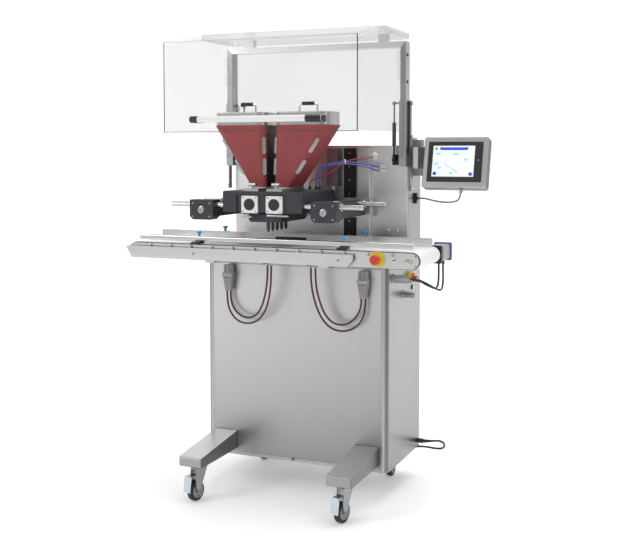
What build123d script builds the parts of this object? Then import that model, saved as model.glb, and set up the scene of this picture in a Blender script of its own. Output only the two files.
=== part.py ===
from build123d import *
import math
import os

os.makedirs("parts", exist_ok=True)

# Fits and sheet, in millimetres
sheet = 3
panel_sheet = 2
panel_gap = 1
running_fit = 0.05
sliding_fit = 0.5
curved_gap = 0.3

# Cabinet and tower
cabinet_width = 800
cabinet_depth = 430
cabinet_bottom = 120
cabinet_height = 820
cabinet_top = cabinet_bottom + cabinet_height
cabinet_corner = 25
front_wall = 5
panel_margin = 28
panel_lip = 15
tower_depth = 172
tower_height = 476
tower_corner = 6
cover_margin = 12
rear_lip = 25
louvre_length = 90
louvre_width = 6
louvre_pitch = 18

# Base frame, legs and wheels
frame_bar = 25
frame_bar_width = 50
leg_spacing = 626
leg_width = 100
leg_reach = 314
leg_tip_height = 39
leg_root_height = 74
leg_seat = 60
leg_round = 8
wheel_diameter = 78
wheel_width = 24
hub_diameter = 52
axle_diameter = 8
caster_setback = 74
caster_trail = 19
caster_turn = 14
fork_gap = 28
fork_plate = 3
swivel_diameter = 44
swivel_plate = 4
swivel_plate_side = 62
pedal_width = 36
pedal_length = 62
rear_wheel_spacing = 600
rear_axle_setback = 87

# Conveyor, head and hoppers share one centre line, left of the cabinet's middle
line_offset = -65
conveyor_length = 1270
conveyor_front = 140
conveyor_back = 150
side_plate = 8
side_height = 60
belt_level = cabinet_top + 74
belt_thick = 2.5
belt_radius = 33
belt_edge_gap = 4
roller_shaft = 20
bed_thick = 5
rod_diameter = 9
rod_pitch = 96
rod_count = 12
apron_gap = 13
apron_sheet = 2
apron_height = 48
apron_right = 311
apron_chamfer = 25
apron_overhang = 2

# Product guides
guide_height = 22
guide_thick = 14
guide_front = 100
guide_back = 100
guide_clearance = 5
guide_half_length = 600
guide_post_spacing = 640
back_guide_height = 34
back_guide_thick = 4
thumb_diameter = 22
thumb_height = 20

# Guard
guard_width = 800
guard_front = 346
guard_bottom = cabinet_top + 525
guard_front_top = cabinet_top + 872
guard_top = cabinet_top + 935
guard_slope_end = 39
guard_sheet = 5
guard_drop = 65
handle_diameter = 24
handle_stand_off = 32
handle_length = 537
handle_level = cabinet_top + 572
post_width = 24
post_depth = 52
channel_wall = 3
channel_bottom = cabinet_top + 390
channel_top = cabinet_top + 660
post_bottom = cabinet_top + 480
crossbar_height = 24
crossbar_top = cabinet_top + 898

# Operator panel
panel_box_width = 260
panel_box_height = 209
panel_box_depth = 55
panel_box_left = 487
panel_box_ahead = 108
panel_box_bottom = cabinet_top + 310
panel_tilt = 15

# The frame's origin lies on the floor, under the middle of the whole machine
left_reach = conveyor_length / 2 - line_offset + apron_overhang
right_reach = panel_box_left + panel_box_width
front_reach = guard_front + handle_stand_off + handle_diameter
back_reach = cabinet_depth + panel_sheet
mid_x = (left_reach - right_reach) / 2
face_y = (front_reach - back_reach) / 2
line_x = mid_x + line_offset
tower_top = cabinet_top + tower_height
tower_face = face_y + cabinet_depth - tower_depth
cabinet_back = face_y + cabinet_depth


def block(x, y, z, mode=Mode.ADD):
    """A square-edged block between pairs of low and high sides."""
    with BuildSketch(Plane.XY.offset(z[0])) as section:
        with Locations(((x[0] + x[1]) / 2, (y[0] + y[1]) / 2)):
            Rectangle(x[1] - x[0], y[1] - y[0])
    extrude(section.sketch, amount=z[1] - z[0], mode=mode)


def bar(start, along, radius, length, mode=Mode.ADD):
    """A round bar or, subtracted, a round hole."""
    with BuildSketch(Plane(origin=start, z_dir=along)) as section:
        Circle(radius)
    extrude(section.sketch, amount=length, mode=mode)


def about(middle, size):
    """The low and high side of a size centred on a middle."""
    return (middle - size / 2, middle + size / 2)


# Cabinet shell: one folded sheet with round front corners and a lip round the open back
with BuildPart() as cabinet_shell:
    with BuildSketch(Plane.XY.offset(cabinet_bottom)):
        with Locations((mid_x, face_y + cabinet_depth / 2)):
            Rectangle(cabinet_width, cabinet_depth)
    extrude(amount=cabinet_height)
    fillet(cabinet_shell.edges().filter_by(Axis.Z).group_by(Axis.Y)[0], cabinet_corner)
    block(about(mid_x, cabinet_width - 2 * sheet), (face_y + front_wall, cabinet_back - sheet),
          (cabinet_bottom + sheet, cabinet_top - sheet), Mode.SUBTRACT)
    block(about(mid_x, cabinet_width - 2 * rear_lip), (cabinet_back - sheet, cabinet_back),
          (cabinet_bottom + rear_lip, cabinet_top - rear_lip), Mode.SUBTRACT)
    panel_width = cabinet_width - 2 * panel_margin
    panel_low = cabinet_bottom + panel_lip
    panel_high = cabinet_top - panel_lip
    block(about(mid_x, panel_width + 2 * panel_gap), (face_y, face_y + panel_sheet),
          (panel_low - panel_gap, panel_high + panel_gap), Mode.SUBTRACT)
    block(about(mid_x, panel_width - 2 * panel_lip), (face_y, face_y + front_wall),
          (panel_low + panel_lip, panel_high - panel_lip), Mode.SUBTRACT)
    leg_low = cabinet_bottom + sheet + frame_bar
    for side in (-1, 1):
        block(about(mid_x + side * leg_spacing / 2, leg_width + 2 * panel_gap),
              (face_y, face_y + front_wall),
              (leg_low - panel_gap, leg_low + leg_root_height + panel_gap), Mode.SUBTRACT)

# Covers: the front panel let into the shell, with a cut-out for each leg, and the rear covers with louvres
with BuildPart() as cabinet_covers:
    block(about(mid_x, panel_width), (face_y, face_y + panel_sheet), (panel_low, panel_high))
    for side in (-1, 1):
        block(about(mid_x + side * leg_spacing / 2, leg_width + 2 * panel_gap),
              (face_y, face_y + panel_sheet),
              (leg_low - panel_gap, leg_low + leg_root_height + panel_gap), Mode.SUBTRACT)
    block(about(mid_x, cabinet_width - 2 * cover_margin), (cabinet_back, cabinet_back + panel_sheet),
          (cabinet_bottom + cover_margin, cabinet_top - cover_margin))
    with BuildSketch(Plane(origin=(mid_x, cabinet_back, cabinet_top - cabinet_height / 4),
                           x_dir=(1, 0, 0), z_dir=(0, 1, 0))):
        with GridLocations(louvre_length * 1.5, louvre_pitch, 4, 6):
            SlotOverall(louvre_length, louvre_width)
    extrude(amount=panel_sheet, mode=Mode.SUBTRACT)
    block(about(mid_x, cabinet_width - 2 * cover_margin), (cabinet_back, cabinet_back + panel_sheet),
          (cabinet_top + cover_margin, tower_top - cover_margin))

# Tower: a folded column box on the back of the cabinet, with a lip round its open back
with BuildPart() as tower_shell:
    block(about(mid_x, cabinet_width), (tower_face, cabinet_back), (cabinet_top, tower_top))
    fillet(tower_shell.edges().filter_by(Axis.Z).group_by(Axis.Y)[0], tower_corner)
    block(about(mid_x, cabinet_width - 2 * sheet), (tower_face + sheet, cabinet_back - sheet),
          (cabinet_top, tower_top - sheet), Mode.SUBTRACT)
    block(about(mid_x, cabinet_width - 2 * rear_lip), (cabinet_back - sheet, cabinet_back),
          (cabinet_top + rear_lip, tower_top - rear_lip), Mode.SUBTRACT)

# Welded ladder frame in the cabinet, and the fixed rear wheel brackets under the floor
wheel_radius = wheel_diameter / 2
rear_axle_y = cabinet_back - rear_axle_setback
cheek_out = fork_gap / 2 + fork_plate
with BuildPart() as base_frame:
    frame_low = cabinet_bottom + sheet
    for side in (-1, 1):
        block(about(mid_x + side * leg_spacing / 2, frame_bar_width),
              (face_y + 2 * front_wall, cabinet_back - frame_bar), (frame_low, leg_low))
    for across in (face_y + 2 * front_wall + frame_bar, cabinet_back - 2 * frame_bar):
        block(about(mid_x, leg_spacing), about(across, frame_bar), (frame_low, leg_low))
    for side in (-1, 1):
        wheel_x = mid_x + side * rear_wheel_spacing / 2
        block(about(wheel_x, 2 * cheek_out), about(rear_axle_y, wheel_diameter),
              (cabinet_bottom - 2 * fork_plate, cabinet_bottom))
        for cheek in (-cheek_out, fork_gap / 2):
            with BuildSketch(Plane(origin=(wheel_x + cheek, rear_axle_y, wheel_radius),
                                   x_dir=(0, 1, 0), z_dir=(1, 0, 0))):
                cheek_rise = cabinet_bottom - 2 * fork_plate - wheel_radius
                with BuildLine():
                    Polyline((-axle_diameter, 0), (-wheel_radius, cheek_rise),
                             (wheel_radius, cheek_rise), (axle_diameter, 0))
                    RadiusArc((axle_diameter, 0), (-axle_diameter, 0), axle_diameter)
                make_face()
            extrude(amount=fork_plate)
        bar((wheel_x - cheek_out, rear_axle_y, wheel_radius), (1, 0, 0), axle_diameter / 2, 2 * cheek_out)
        block(about(mid_x + side * leg_spacing / 2, swivel_plate_side),
              about(face_y - leg_reach + caster_setback, swivel_plate_side),
              (leg_low - swivel_plate, leg_low))

# Tapered front legs, seated on the ladder frame
with BuildPart() as front_legs:
    for side in (-1, 1):
        leg_x = mid_x + side * leg_spacing / 2
        with BuildSketch(Plane(origin=(leg_x - leg_width / 2, face_y, leg_low),
                               x_dir=(0, 1, 0), z_dir=(1, 0, 0))):
            with BuildLine():
                Polyline((-leg_reach, 0), (-leg_reach, leg_tip_height), (0, leg_root_height),
                         (leg_seat, leg_root_height), (leg_seat, 0), close=True)
            make_face()
        extrude(amount=leg_width)
    tips = front_legs.edges().group_by(Axis.Y)[0]
    fillet(tips, leg_round)
    for side in (-1, 1):
        leg_x = mid_x + side * leg_spacing / 2
        with BuildSketch(Plane(origin=(leg_x - leg_width / 2 + sheet, face_y, leg_low),
                               x_dir=(0, 1, 0), z_dir=(1, 0, 0))):
            with BuildLine():
                Polyline((sheet - leg_reach, sheet), (sheet - leg_reach, leg_tip_height - sheet),
                         (0, leg_root_height - sheet), (leg_seat, leg_root_height - sheet),
                         (leg_seat, sheet),
                         close=True)
            make_face()
        extrude(amount=leg_width - 2 * sheet, mode=Mode.SUBTRACT)


def wheel(piece, centre, axle):
    """A hub with a running bore and a rubber tyre round it, as two solids of one wheel."""
    plane = Plane(origin=centre, x_dir=(0, 0, 1), z_dir=axle)
    with BuildSketch(plane.offset(-wheel_width / 2)) as section:
        Circle(hub_diameter / 2)
        Circle(axle_diameter / 2 + running_fit, mode=Mode.SUBTRACT)
    extrude(section.sketch, amount=wheel_width)
    for face, way in ((wheel_width / 2, -1), (-wheel_width / 2, 1)):
        with BuildSketch(plane.offset(face)) as section:
            Circle(hub_diameter / 2 - 4)
            Circle(axle_diameter, mode=Mode.SUBTRACT)
        extrude(section.sketch, amount=way * wheel_width / 6, mode=Mode.SUBTRACT)
    with BuildSketch(plane.offset(-wheel_width / 2)) as section:
        Circle(wheel_radius)
        Circle(hub_diameter / 2 + 0.02, mode=Mode.SUBTRACT)
    extrude(section.sketch, amount=wheel_width)
    rims = piece.edges().filter_by(GeomType.CIRCLE)
    fillet([e for e in rims if abs(e.radius - wheel_radius) < 0.01], wheel_width / 5)


with BuildPart() as left_rear_wheel:
    wheel(left_rear_wheel, (mid_x - rear_wheel_spacing / 2, rear_axle_y, wheel_radius), (1, 0, 0))
with BuildPart() as right_rear_wheel:
    wheel(right_rear_wheel, (mid_x + rear_wheel_spacing / 2, rear_axle_y, wheel_radius), (1, 0, 0))

# Front casters: the swivel stands under the leg's tip and the wheel trails towards the front
turn = math.radians(caster_turn)
axle_dir = Vector(math.cos(turn), -math.sin(turn), 0)
trail_dir = Vector(-math.sin(turn), -math.cos(turn), 0)
swivel_y = face_y - leg_reach + caster_setback
swivel_head = 12
fork_top = leg_low - swivel_plate - swivel_head
fork_half = 30


def swivel(side):
    """Where a caster's swivel axis meets the floor."""
    return Vector(mid_x + side * leg_spacing / 2, swivel_y, 0)


def caster_fork(side):
    """Pressed fork: swivel head, bent crown, two cheeks and the axle bolt."""
    foot = swivel(side)
    axle = foot + trail_dir * caster_trail
    bar((foot.X, foot.Y, fork_top), (0, 0, 1), swivel_diameter / 2, swivel_head)
    crown = Plane(origin=(foot.X, foot.Y, fork_top), x_dir=axle_dir, z_dir=(0, 0, -1))
    with BuildSketch(crown) as section:
        RectangleRounded(2 * cheek_out, 2 * fork_half, fork_plate)
    extrude(section.sketch, amount=fork_plate)
    for cheek in (-cheek_out, fork_gap / 2):
        start = foot + axle_dir * cheek
        with BuildSketch(Plane(origin=(start.X, start.Y, 0), x_dir=-trail_dir, z_dir=axle_dir)) as section:
            with BuildLine():
                Polyline((-caster_trail + axle_diameter, wheel_radius),
                         (fork_half, fork_top - 2 * fork_plate),
                         (fork_half, fork_top), (-fork_half, fork_top),
                         (-caster_trail - 2 * axle_diameter, wheel_radius + fork_half),
                         (-caster_trail - axle_diameter, wheel_radius))
                RadiusArc((-caster_trail - axle_diameter, wheel_radius),
                          (-caster_trail + axle_diameter, wheel_radius), -axle_diameter)
            make_face()
        extrude(section.sketch, amount=fork_plate)
    bolt = axle - axle_dir * (cheek_out + fork_plate)
    bar((bolt.X, bolt.Y, wheel_radius), axle_dir, axle_diameter / 2, 2 * (cheek_out + fork_plate))
    pin = foot + trail_dir * pedal_pin_reach - axle_dir * cheek_out
    bar((pin.X, pin.Y, pedal_pin_level), axle_dir, pedal_pin / 2, 2 * cheek_out)


pedal_pin = 6
pedal_pin_reach = 24
pedal_pin_level = fork_top - 32
pedal_sheet = 3
pedal_reach = 64
pedal_lean = 8


def brake_pedal(side):
    """Foot pedal on a cross pin of the fork, bent down in front of the wheel."""
    inner = fork_gap - 2 * sliding_fit
    hub = swivel(side) + axle_dir * (inner / 2)
    with BuildSketch(Plane(origin=(hub.X, hub.Y, pedal_pin_level), x_dir=trail_dir,
                           z_dir=-axle_dir)) as section:
        with Locations((pedal_pin_reach, 0)):
            Circle(pedal_pin)
        with Locations(((pedal_pin_reach + pedal_reach) / 2, pedal_pin - pedal_sheet / 2)):
            Rectangle(pedal_reach - pedal_pin_reach, pedal_sheet)
        with Locations((pedal_pin_reach, 0)):
            Circle(pedal_pin / 2 + running_fit, mode=Mode.SUBTRACT)
    extrude(section.sketch, amount=inner)
    edge = swivel(side) + axle_dir * (pedal_width / 2)
    with BuildSketch(Plane(origin=(edge.X, edge.Y, pedal_pin_level), x_dir=trail_dir,
                           z_dir=-axle_dir)) as section:
        with BuildLine():
            Polyline((pedal_reach - pedal_sheet, pedal_pin), (pedal_reach, pedal_pin),
                     (pedal_reach + pedal_lean, pedal_pin - pedal_length),
                     (pedal_reach + pedal_lean - pedal_sheet, pedal_pin - pedal_length), close=True)
        make_face()
    extrude(section.sketch, amount=pedal_width)


with BuildPart() as left_caster_fork:
    caster_fork(-1)
with BuildPart() as right_caster_fork:
    caster_fork(1)
with BuildPart() as left_brake_pedal:
    brake_pedal(-1)
with BuildPart() as right_brake_pedal:
    brake_pedal(1)


def wheel_centre(side):
    """The middle of a front wheel."""
    centre = swivel(side) + trail_dir * caster_trail
    return (centre.X, centre.Y, wheel_radius)


with BuildPart() as left_front_wheel:
    wheel(left_front_wheel, wheel_centre(-1), axle_dir)
with BuildPart() as right_front_wheel:
    wheel(right_front_wheel, wheel_centre(1), axle_dir)

# Conveyor: two side plates with round ends, welded to cross beams on the cabinet top
axis_level = belt_level - belt_radius
roller_reach = conveyor_length / 2 - belt_radius
belt_inside = belt_radius - belt_thick
front_plate_y = face_y - conveyor_front
back_plate_y = face_y + conveyor_back
belt_front = front_plate_y + side_plate + belt_edge_gap
belt_back = back_plate_y - side_plate - belt_edge_gap
belt_middle = (belt_front + belt_back) / 2
rod_level = axis_level + belt_inside - bed_thick - rod_diameter / 2
rod_places = [line_x + (i - (rod_count - 1) / 2) * rod_pitch for i in range(rod_count)]
beam_spacing = 500
beam_width = 40
beam_clearance = 1
side_bottom = axis_level - side_height / 2
side_top = axis_level + side_height / 2
beam_top = axis_level - belt_radius - beam_clearance
nut_radius = 6.5
nut_length = 8
rod_end = front_plate_y - 3


def lengthwise(y):
    """A plane across the belt's width, drawn in length and height from the conveyor's middle."""
    return Plane(origin=(line_x, y, axis_level), x_dir=(1, 0, 0), z_dir=(0, -1, 0))


with BuildPart() as conveyor_frame:
    for y in (front_plate_y + side_plate, back_plate_y):
        with BuildSketch(lengthwise(y)):
            SlotCenterToCenter(2 * roller_reach, side_height)
            with Locations((-roller_reach, 0), (roller_reach, 0)):
                Circle(roller_shaft / 2 + running_fit, mode=Mode.SUBTRACT)
            with Locations([(x - line_x, rod_level - axis_level) for x in rod_places]):
                Circle(rod_diameter / 2 + running_fit, mode=Mode.SUBTRACT)
        extrude(amount=side_plate)
    for side in (-1, 1):
        beam_x = about(line_x + side * beam_spacing / 2, beam_width)
        block(beam_x, (front_plate_y, back_plate_y), (cabinet_top, beam_top))
        block(beam_x, (front_plate_y, front_plate_y + side_plate), (beam_top, side_bottom))
        block(beam_x, (back_plate_y - side_plate, back_plate_y), (beam_top, side_bottom))

# Belt bed on twelve cross rods with round nuts at the front
bed_half = roller_reach - 1.3 * belt_radius
with BuildPart() as belt_bed:
    block(about(line_x, 2 * bed_half), (belt_front, belt_back),
          (rod_level + rod_diameter / 2, axis_level + belt_inside))
    for x in rod_places:
        bar((x, rod_end, rod_level), (0, 1, 0), rod_diameter / 2, back_plate_y - rod_end)
        with BuildSketch(Plane(origin=(x, rod_end, rod_level), z_dir=(0, -1, 0))):
            Circle(nut_radius)
        extrude(amount=nut_length, taper=12)

# Endless belt round both rollers
with BuildPart() as belt:
    with BuildSketch(lengthwise(belt_back)):
        SlotCenterToCenter(2 * roller_reach, 2 * belt_radius)
        SlotCenterToCenter(2 * roller_reach, 2 * belt_inside, mode=Mode.SUBTRACT)
    extrude(amount=belt_back - belt_front)


def roller(x, shaft_back):
    """A crowned drum with its shaft ends in the side plates."""
    drum = (belt_back - belt_front) / 2
    radius = belt_inside - curved_gap
    with BuildSketch(Plane(origin=(x, belt_middle, axis_level), x_dir=(0, 1, 0),
                           z_dir=(1, 0, 0))) as section:
        front_end = front_plate_y + 1 - belt_middle
        back_end = shaft_back - belt_middle
        with BuildLine():
            Polyline((front_end, 0), (front_end, roller_shaft / 2), (-drum, roller_shaft / 2),
                     (-drum, radius - 1))
            ThreePointArc((-drum, radius - 1), (0, radius), (drum, radius - 1))
            Polyline((drum, radius - 1), (drum, roller_shaft / 2), (back_end, roller_shaft / 2),
                     (back_end, 0),
                     (front_end, 0))
        make_face()
    revolve(section.sketch, axis=Axis((x, belt_middle, axis_level), (0, 1, 0)))


motor_flange = 72
motor_flange_thick = 20
motor_ring = 60
motor_ring_length = 25
motor_body = 62
motor_body_length = 105
motor_cap = 50
motor_cap_length = 18
shaft_depth = 14
drive_x = line_x + roller_reach
with BuildPart() as drive_roller:
    roller(drive_x, back_plate_y + shaft_depth)
with BuildPart() as idle_roller:
    roller(line_x - roller_reach, back_plate_y - 1)

# Gearmotor on the back plate: flange, gear ring, square motor and round end cap
with BuildPart() as gearmotor:
    motor_y = back_plate_y
    with BuildSketch(Plane(origin=(drive_x, motor_y, axis_level), z_dir=(0, 1, 0))):
        RectangleRounded(motor_flange, motor_flange, 6)
    extrude(amount=motor_flange_thick)
    motor_y = motor_y + motor_flange_thick
    bar((drive_x, motor_y, axis_level), (0, 1, 0), motor_ring / 2, motor_ring_length)
    motor_y = motor_y + motor_ring_length
    with BuildSketch(Plane(origin=(drive_x, motor_y, axis_level), z_dir=(0, 1, 0))):
        RectangleRounded(motor_body, motor_body, 10)
    extrude(amount=motor_body_length)
    motor_y = motor_y + motor_body_length
    with BuildSketch(Plane(origin=(drive_x, motor_y, axis_level), z_dir=(0, 1, 0))):
        Circle(motor_cap / 2)
    extrude(amount=motor_cap_length, taper=10)
    bar((drive_x, back_plate_y, axis_level), (0, 1, 0), roller_shaft / 2 + running_fit,
        shaft_depth + 1, Mode.SUBTRACT)

# Bare apron on two spacers in front of the side plate, in one node with the cabinet's covers
apron_face = front_plate_y - apron_gap - apron_sheet
apron_left = line_x - conveyor_length / 2 - apron_overhang
apron_bolt_spacing = 632
apron_bolt_level = belt_level - 39
spacer_radius = 8
with BuildPart() as steel_covers:
    add(cabinet_covers.part)
    apron_bottom = side_bottom
    with BuildSketch(Plane(origin=(0, apron_face + apron_sheet, apron_bottom), x_dir=(1, 0, 0),
                           z_dir=(0, -1, 0))):
        with BuildLine():
            apron_end = mid_x + apron_right
            Polyline((apron_left, apron_height), (apron_left, apron_height - 6),
                     (apron_left + apron_chamfer, 0), (apron_end - apron_chamfer, 0),
                     (apron_end, apron_chamfer), (apron_end, apron_height), close=True)
        make_face()
    extrude(amount=apron_sheet)
    for side in (-1, 1):
        bolt_x = line_x + side * apron_bolt_spacing / 2
        bar((bolt_x, front_plate_y, apron_bolt_level), (0, -1, 0), spacer_radius, apron_gap)
        with BuildSketch(Plane(origin=(bolt_x, apron_face, apron_bolt_level), z_dir=(0, -1, 0))):
            Circle(7)
        extrude(amount=4, taper=30)

# Guide feet: flat slotted feet on the front plate, slotted posts on the back plate
foot_width = 34
foot_low = belt_level + 1
foot_high = belt_level + guide_clearance + 3
guide_travel = 8
stud_radius = 4
slot_width = 2 * stud_radius + 1
front_guide_y = face_y - guide_front
back_guide_y = face_y + guide_back
back_post_y = back_plate_y - 19
back_post_depth = 32
back_tab_low = belt_level + 2 + back_guide_height - 4
guide_posts = [line_x - guide_post_spacing / 2, line_x + guide_post_spacing / 2]


def slot_cut(x, y, low, high):
    """A slot along Y for a clamp stud, as long as the guide's travel needs."""
    with BuildSketch(Plane(origin=(x, y, low), x_dir=(0, 1, 0), z_dir=(0, 0, 1))) as section:
        SlotCenterToCenter(2 * guide_travel + 2, slot_width)
    extrude(section.sketch, amount=high - low, mode=Mode.SUBTRACT)


with BuildPart() as guide_feet:
    for x in guide_posts:
        block(about(x, foot_width), (front_plate_y, front_guide_y + guide_travel + slot_width),
              (foot_low, foot_high))
        block(about(x, foot_width), (front_plate_y, front_plate_y + side_plate), (side_top, foot_low))
        slot_cut(x, front_guide_y, foot_low, foot_high)
        block(about(x, foot_width), about(back_post_y, back_post_depth), (foot_low, back_tab_low))
        block(about(x, foot_width), (back_plate_y - side_plate, back_plate_y), (side_top, foot_low))
        slot_cut(x, back_post_y, back_tab_low - 20, back_tab_low)


def thumb_screw(x, y, seat, reach):
    """Flared knob on a stud that clamps a guide to its foot."""
    with BuildSketch(Plane(origin=(x, y, seat), x_dir=(1, 0, 0), z_dir=(0, -1, 0))) as section:
        with BuildLine():
            Polyline((0, -reach), (stud_radius, -reach), (stud_radius, 0), (thumb_diameter / 4, 0),
                     (thumb_diameter / 4, thumb_height * 0.45), (thumb_diameter / 2, thumb_height * 0.75),
                     (thumb_diameter / 2, thumb_height), (0, thumb_height), close=True)
        make_face()
    revolve(section.sketch, axis=Axis((x, y, 0), (0, 0, 1)))


def screw_hole(x, y, seat, reach):
    """A running hole for a thumb screw's stud."""
    bar((x, y, seat), (0, 0, -1), stud_radius + running_fit, reach, Mode.SUBTRACT)


# Front guide: a rounded bar with two holes for its thumb screws
front_seat = foot_high + guide_height
front_stud = guide_height + foot_high - foot_low - 1
with BuildPart() as front_guide:
    guide_end = line_x - guide_half_length
    with BuildSketch(Plane(origin=(guide_end, front_guide_y, foot_high + guide_height / 2),
                           x_dir=(0, 1, 0), z_dir=(1, 0, 0))):
        RectangleRounded(guide_thick, guide_height, guide_thick * 0.4)
    extrude(amount=2 * guide_half_length)
    for x in guide_posts:
        screw_hole(x, front_guide_y, front_seat, guide_height)

# Back guide: a tall strip with two bent tabs
back_tab = 4
back_seat = back_tab_low + back_tab
back_stud = 16
with BuildPart() as back_guide:
    block(about(line_x, 2 * guide_half_length + 30), about(back_guide_y, back_guide_thick),
          (belt_level + 2, belt_level + 2 + back_guide_height))
    for x in guide_posts:
        block(about(x, foot_width), (back_guide_y, back_post_y + slot_width), (back_tab_low, back_seat))
        screw_hole(x, back_post_y, back_seat, back_tab)

# Thumb screws, two on each guide
with BuildPart() as front_left_screw:
    thumb_screw(guide_posts[0], front_guide_y, front_seat, front_stud)
with BuildPart() as front_right_screw:
    thumb_screw(guide_posts[1], front_guide_y, front_seat, front_stud)
with BuildPart() as back_left_screw:
    thumb_screw(guide_posts[0], back_post_y, back_seat, back_stud)
with BuildPart() as back_right_screw:
    thumb_screw(guide_posts[1], back_post_y, back_seat, back_stud)

# Emergency stop and main switch: yellow bases, red moving parts
stop_x = mid_x + 403
stop_level = belt_level - 30
stop_plate = 60
stop_plate_thick = 4
stop_collar = 12
stop_stem = 16
stop_head = 40
stop_head_depth = 15
stop_travel = 5
switch_y = face_y + 275
switch_level = cabinet_top - 70
switch_base = 48
switch_base_thick = 16
knob_diameter = 36
knob_spindle = 12
cabinet_right = mid_x + cabinet_width / 2
with BuildPart() as switch_bases:
    bar((stop_x, front_plate_y, stop_level), (0, -1, 0), stop_plate / 2, stop_plate_thick)
    bar((stop_x, front_plate_y - stop_plate_thick, stop_level), (0, -1, 0), stop_stem / 2 + 7, stop_collar)
    bar((stop_x, front_plate_y - stop_plate_thick, stop_level), (0, -1, 0), stop_stem / 2 + running_fit,
        stop_collar, Mode.SUBTRACT)
    with BuildSketch(Plane(origin=(cabinet_right, switch_y, switch_level), x_dir=(0, 1, 0),
                           z_dir=(1, 0, 0))):
        RectangleRounded(switch_base, switch_base, 8)
    extrude(amount=switch_base_thick)
    bar((cabinet_right + switch_base_thick, switch_y, switch_level), (-1, 0, 0),
        knob_spindle / 2 + running_fit, switch_base_thick / 2, Mode.SUBTRACT)
with BuildPart() as stop_button:
    stem_tip = front_plate_y - stop_plate_thick - stop_travel - 1
    mushroom_back = front_plate_y - stop_plate_thick - stop_collar - stop_travel - 1
    bar((stop_x, stem_tip, stop_level), (0, -1, 0), stop_stem / 2, stem_tip - mushroom_back)
    bar((stop_x, mushroom_back, stop_level), (0, -1, 0), stop_head / 2, stop_head_depth)
    fillet(stop_button.faces().sort_by(Axis.Y)[0].edges(), stop_head_depth / 2)
with BuildPart() as switch_knob:
    knob_face = cabinet_right + switch_base_thick + curved_gap
    bar((knob_face - switch_base_thick / 2 + 1, switch_y, switch_level), (1, 0, 0), knob_spindle / 2,
        switch_base_thick / 2)
    bar((knob_face, switch_y, switch_level), (1, 0, 0), knob_diameter / 2, 6)
    with BuildSketch(Plane(origin=(knob_face + 6, switch_y, switch_level), x_dir=(0, 1, 0),
                           z_dir=(1, 0, 0))):
        SlotOverall(knob_diameter - 4, knob_spindle)
    extrude(amount=14)

# Lift on the tower: black rail, steel column and the actuator that raises the head
rail_x = mid_x + 146
rail_width = 52
rail_thick = 18
rail_bottom = cabinet_top + 70
column_width = 60
column_depth = 28
column_x = mid_x + 212
actuator_x = mid_x + 86
actuator_width = 50
actuator_depth = 60
actuator_bottom = cabinet_top + 305
actuator_top = cabinet_top + 465
lift_rod = 14
arm_low = belt_level + 104
arm_high = belt_level + 184
carriage_front = tower_face - 58
carriage_back = tower_face - 33
lift_rod_y = (carriage_front + carriage_back) / 2
with BuildPart() as lift_column:
    block(about(rail_x, rail_width), (tower_face - rail_thick, tower_face), (rail_bottom, actuator_top))
    chamfer(lift_column.edges().filter_by(Axis.Z).group_by(Axis.Y)[0], 3)
    block(about(column_x, column_width), (tower_face - column_depth, tower_face),
          (rail_bottom + 10, actuator_top))
    fillet(lift_column.edges().filter_by(Axis.Z).group_by(Axis.Y)[0], 5)
    block(about(actuator_x, actuator_width - 2), (tower_face - actuator_depth, tower_face),
          (actuator_bottom, actuator_top))
    bar((actuator_x, lift_rod_y, actuator_bottom), (0, 0, 1), lift_rod / 2 + running_fit,
        actuator_top - actuator_bottom - 20, Mode.SUBTRACT)

# Lift carriage: a beam behind the head with a bearing block round the rail
arm_spacing = 530
arm_block_width = 106
arm_block_depth = 60
arm_front = face_y - 180
arm_width = 60
arm_inset = 10
arm_chamfer = 14
bearing_lip = 7
with BuildPart() as lift_carriage:
    block(about(line_x, arm_spacing + arm_block_width), (carriage_front, carriage_back),
          (arm_low, arm_high))
    block(about(rail_x, rail_width + 2 * (bearing_lip + sliding_fit)),
          (carriage_back, tower_face - sliding_fit - 3), (arm_low, arm_high))
    block(about(rail_x, rail_width + 2 * sliding_fit), (tower_face - rail_thick - sliding_fit, tower_face),
          (arm_low, arm_high), Mode.SUBTRACT)

# Head arms: chamfered front blocks on narrower arms, with a bright bolt in each front
rod_radius = 10
rod_level_head = belt_level + 164
front_rod_y = face_y - 150
rear_rod_y = carriage_front - 83
bolt_level = belt_level + 142
with BuildPart() as head_arms:
    for side in (-1, 1):
        arm_x = line_x + side * arm_spacing / 2
        with BuildSketch(Plane(origin=(arm_x, arm_front, (arm_low + arm_high) / 2), x_dir=(1, 0, 0),
                               z_dir=(0, -1, 0))):
            Rectangle(arm_block_width, arm_high - arm_low)
        extrude(amount=-arm_block_depth)
        block(about(arm_x, arm_width), (arm_front + arm_block_depth, carriage_front),
              (arm_low + arm_inset, arm_high - arm_inset))
    low_edges = head_arms.edges().filter_by(Axis.Y).group_by(Axis.Z)[0]
    chamfer(low_edges, arm_chamfer)
    for side in (-1, 1):
        arm_x = line_x + side * arm_spacing / 2
        for y in (front_rod_y, rear_rod_y):
            bar((arm_x - arm_block_width, y, rod_level_head), (1, 0, 0), rod_radius + running_fit,
                2 * arm_block_width, Mode.SUBTRACT)
        with BuildSketch(Plane(origin=(arm_x, arm_front, bolt_level), z_dir=(0, -1, 0))):
            Circle(14)
            RegularPolygon(5, 6, mode=Mode.SUBTRACT)
        extrude(amount=6, taper=8)

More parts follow.
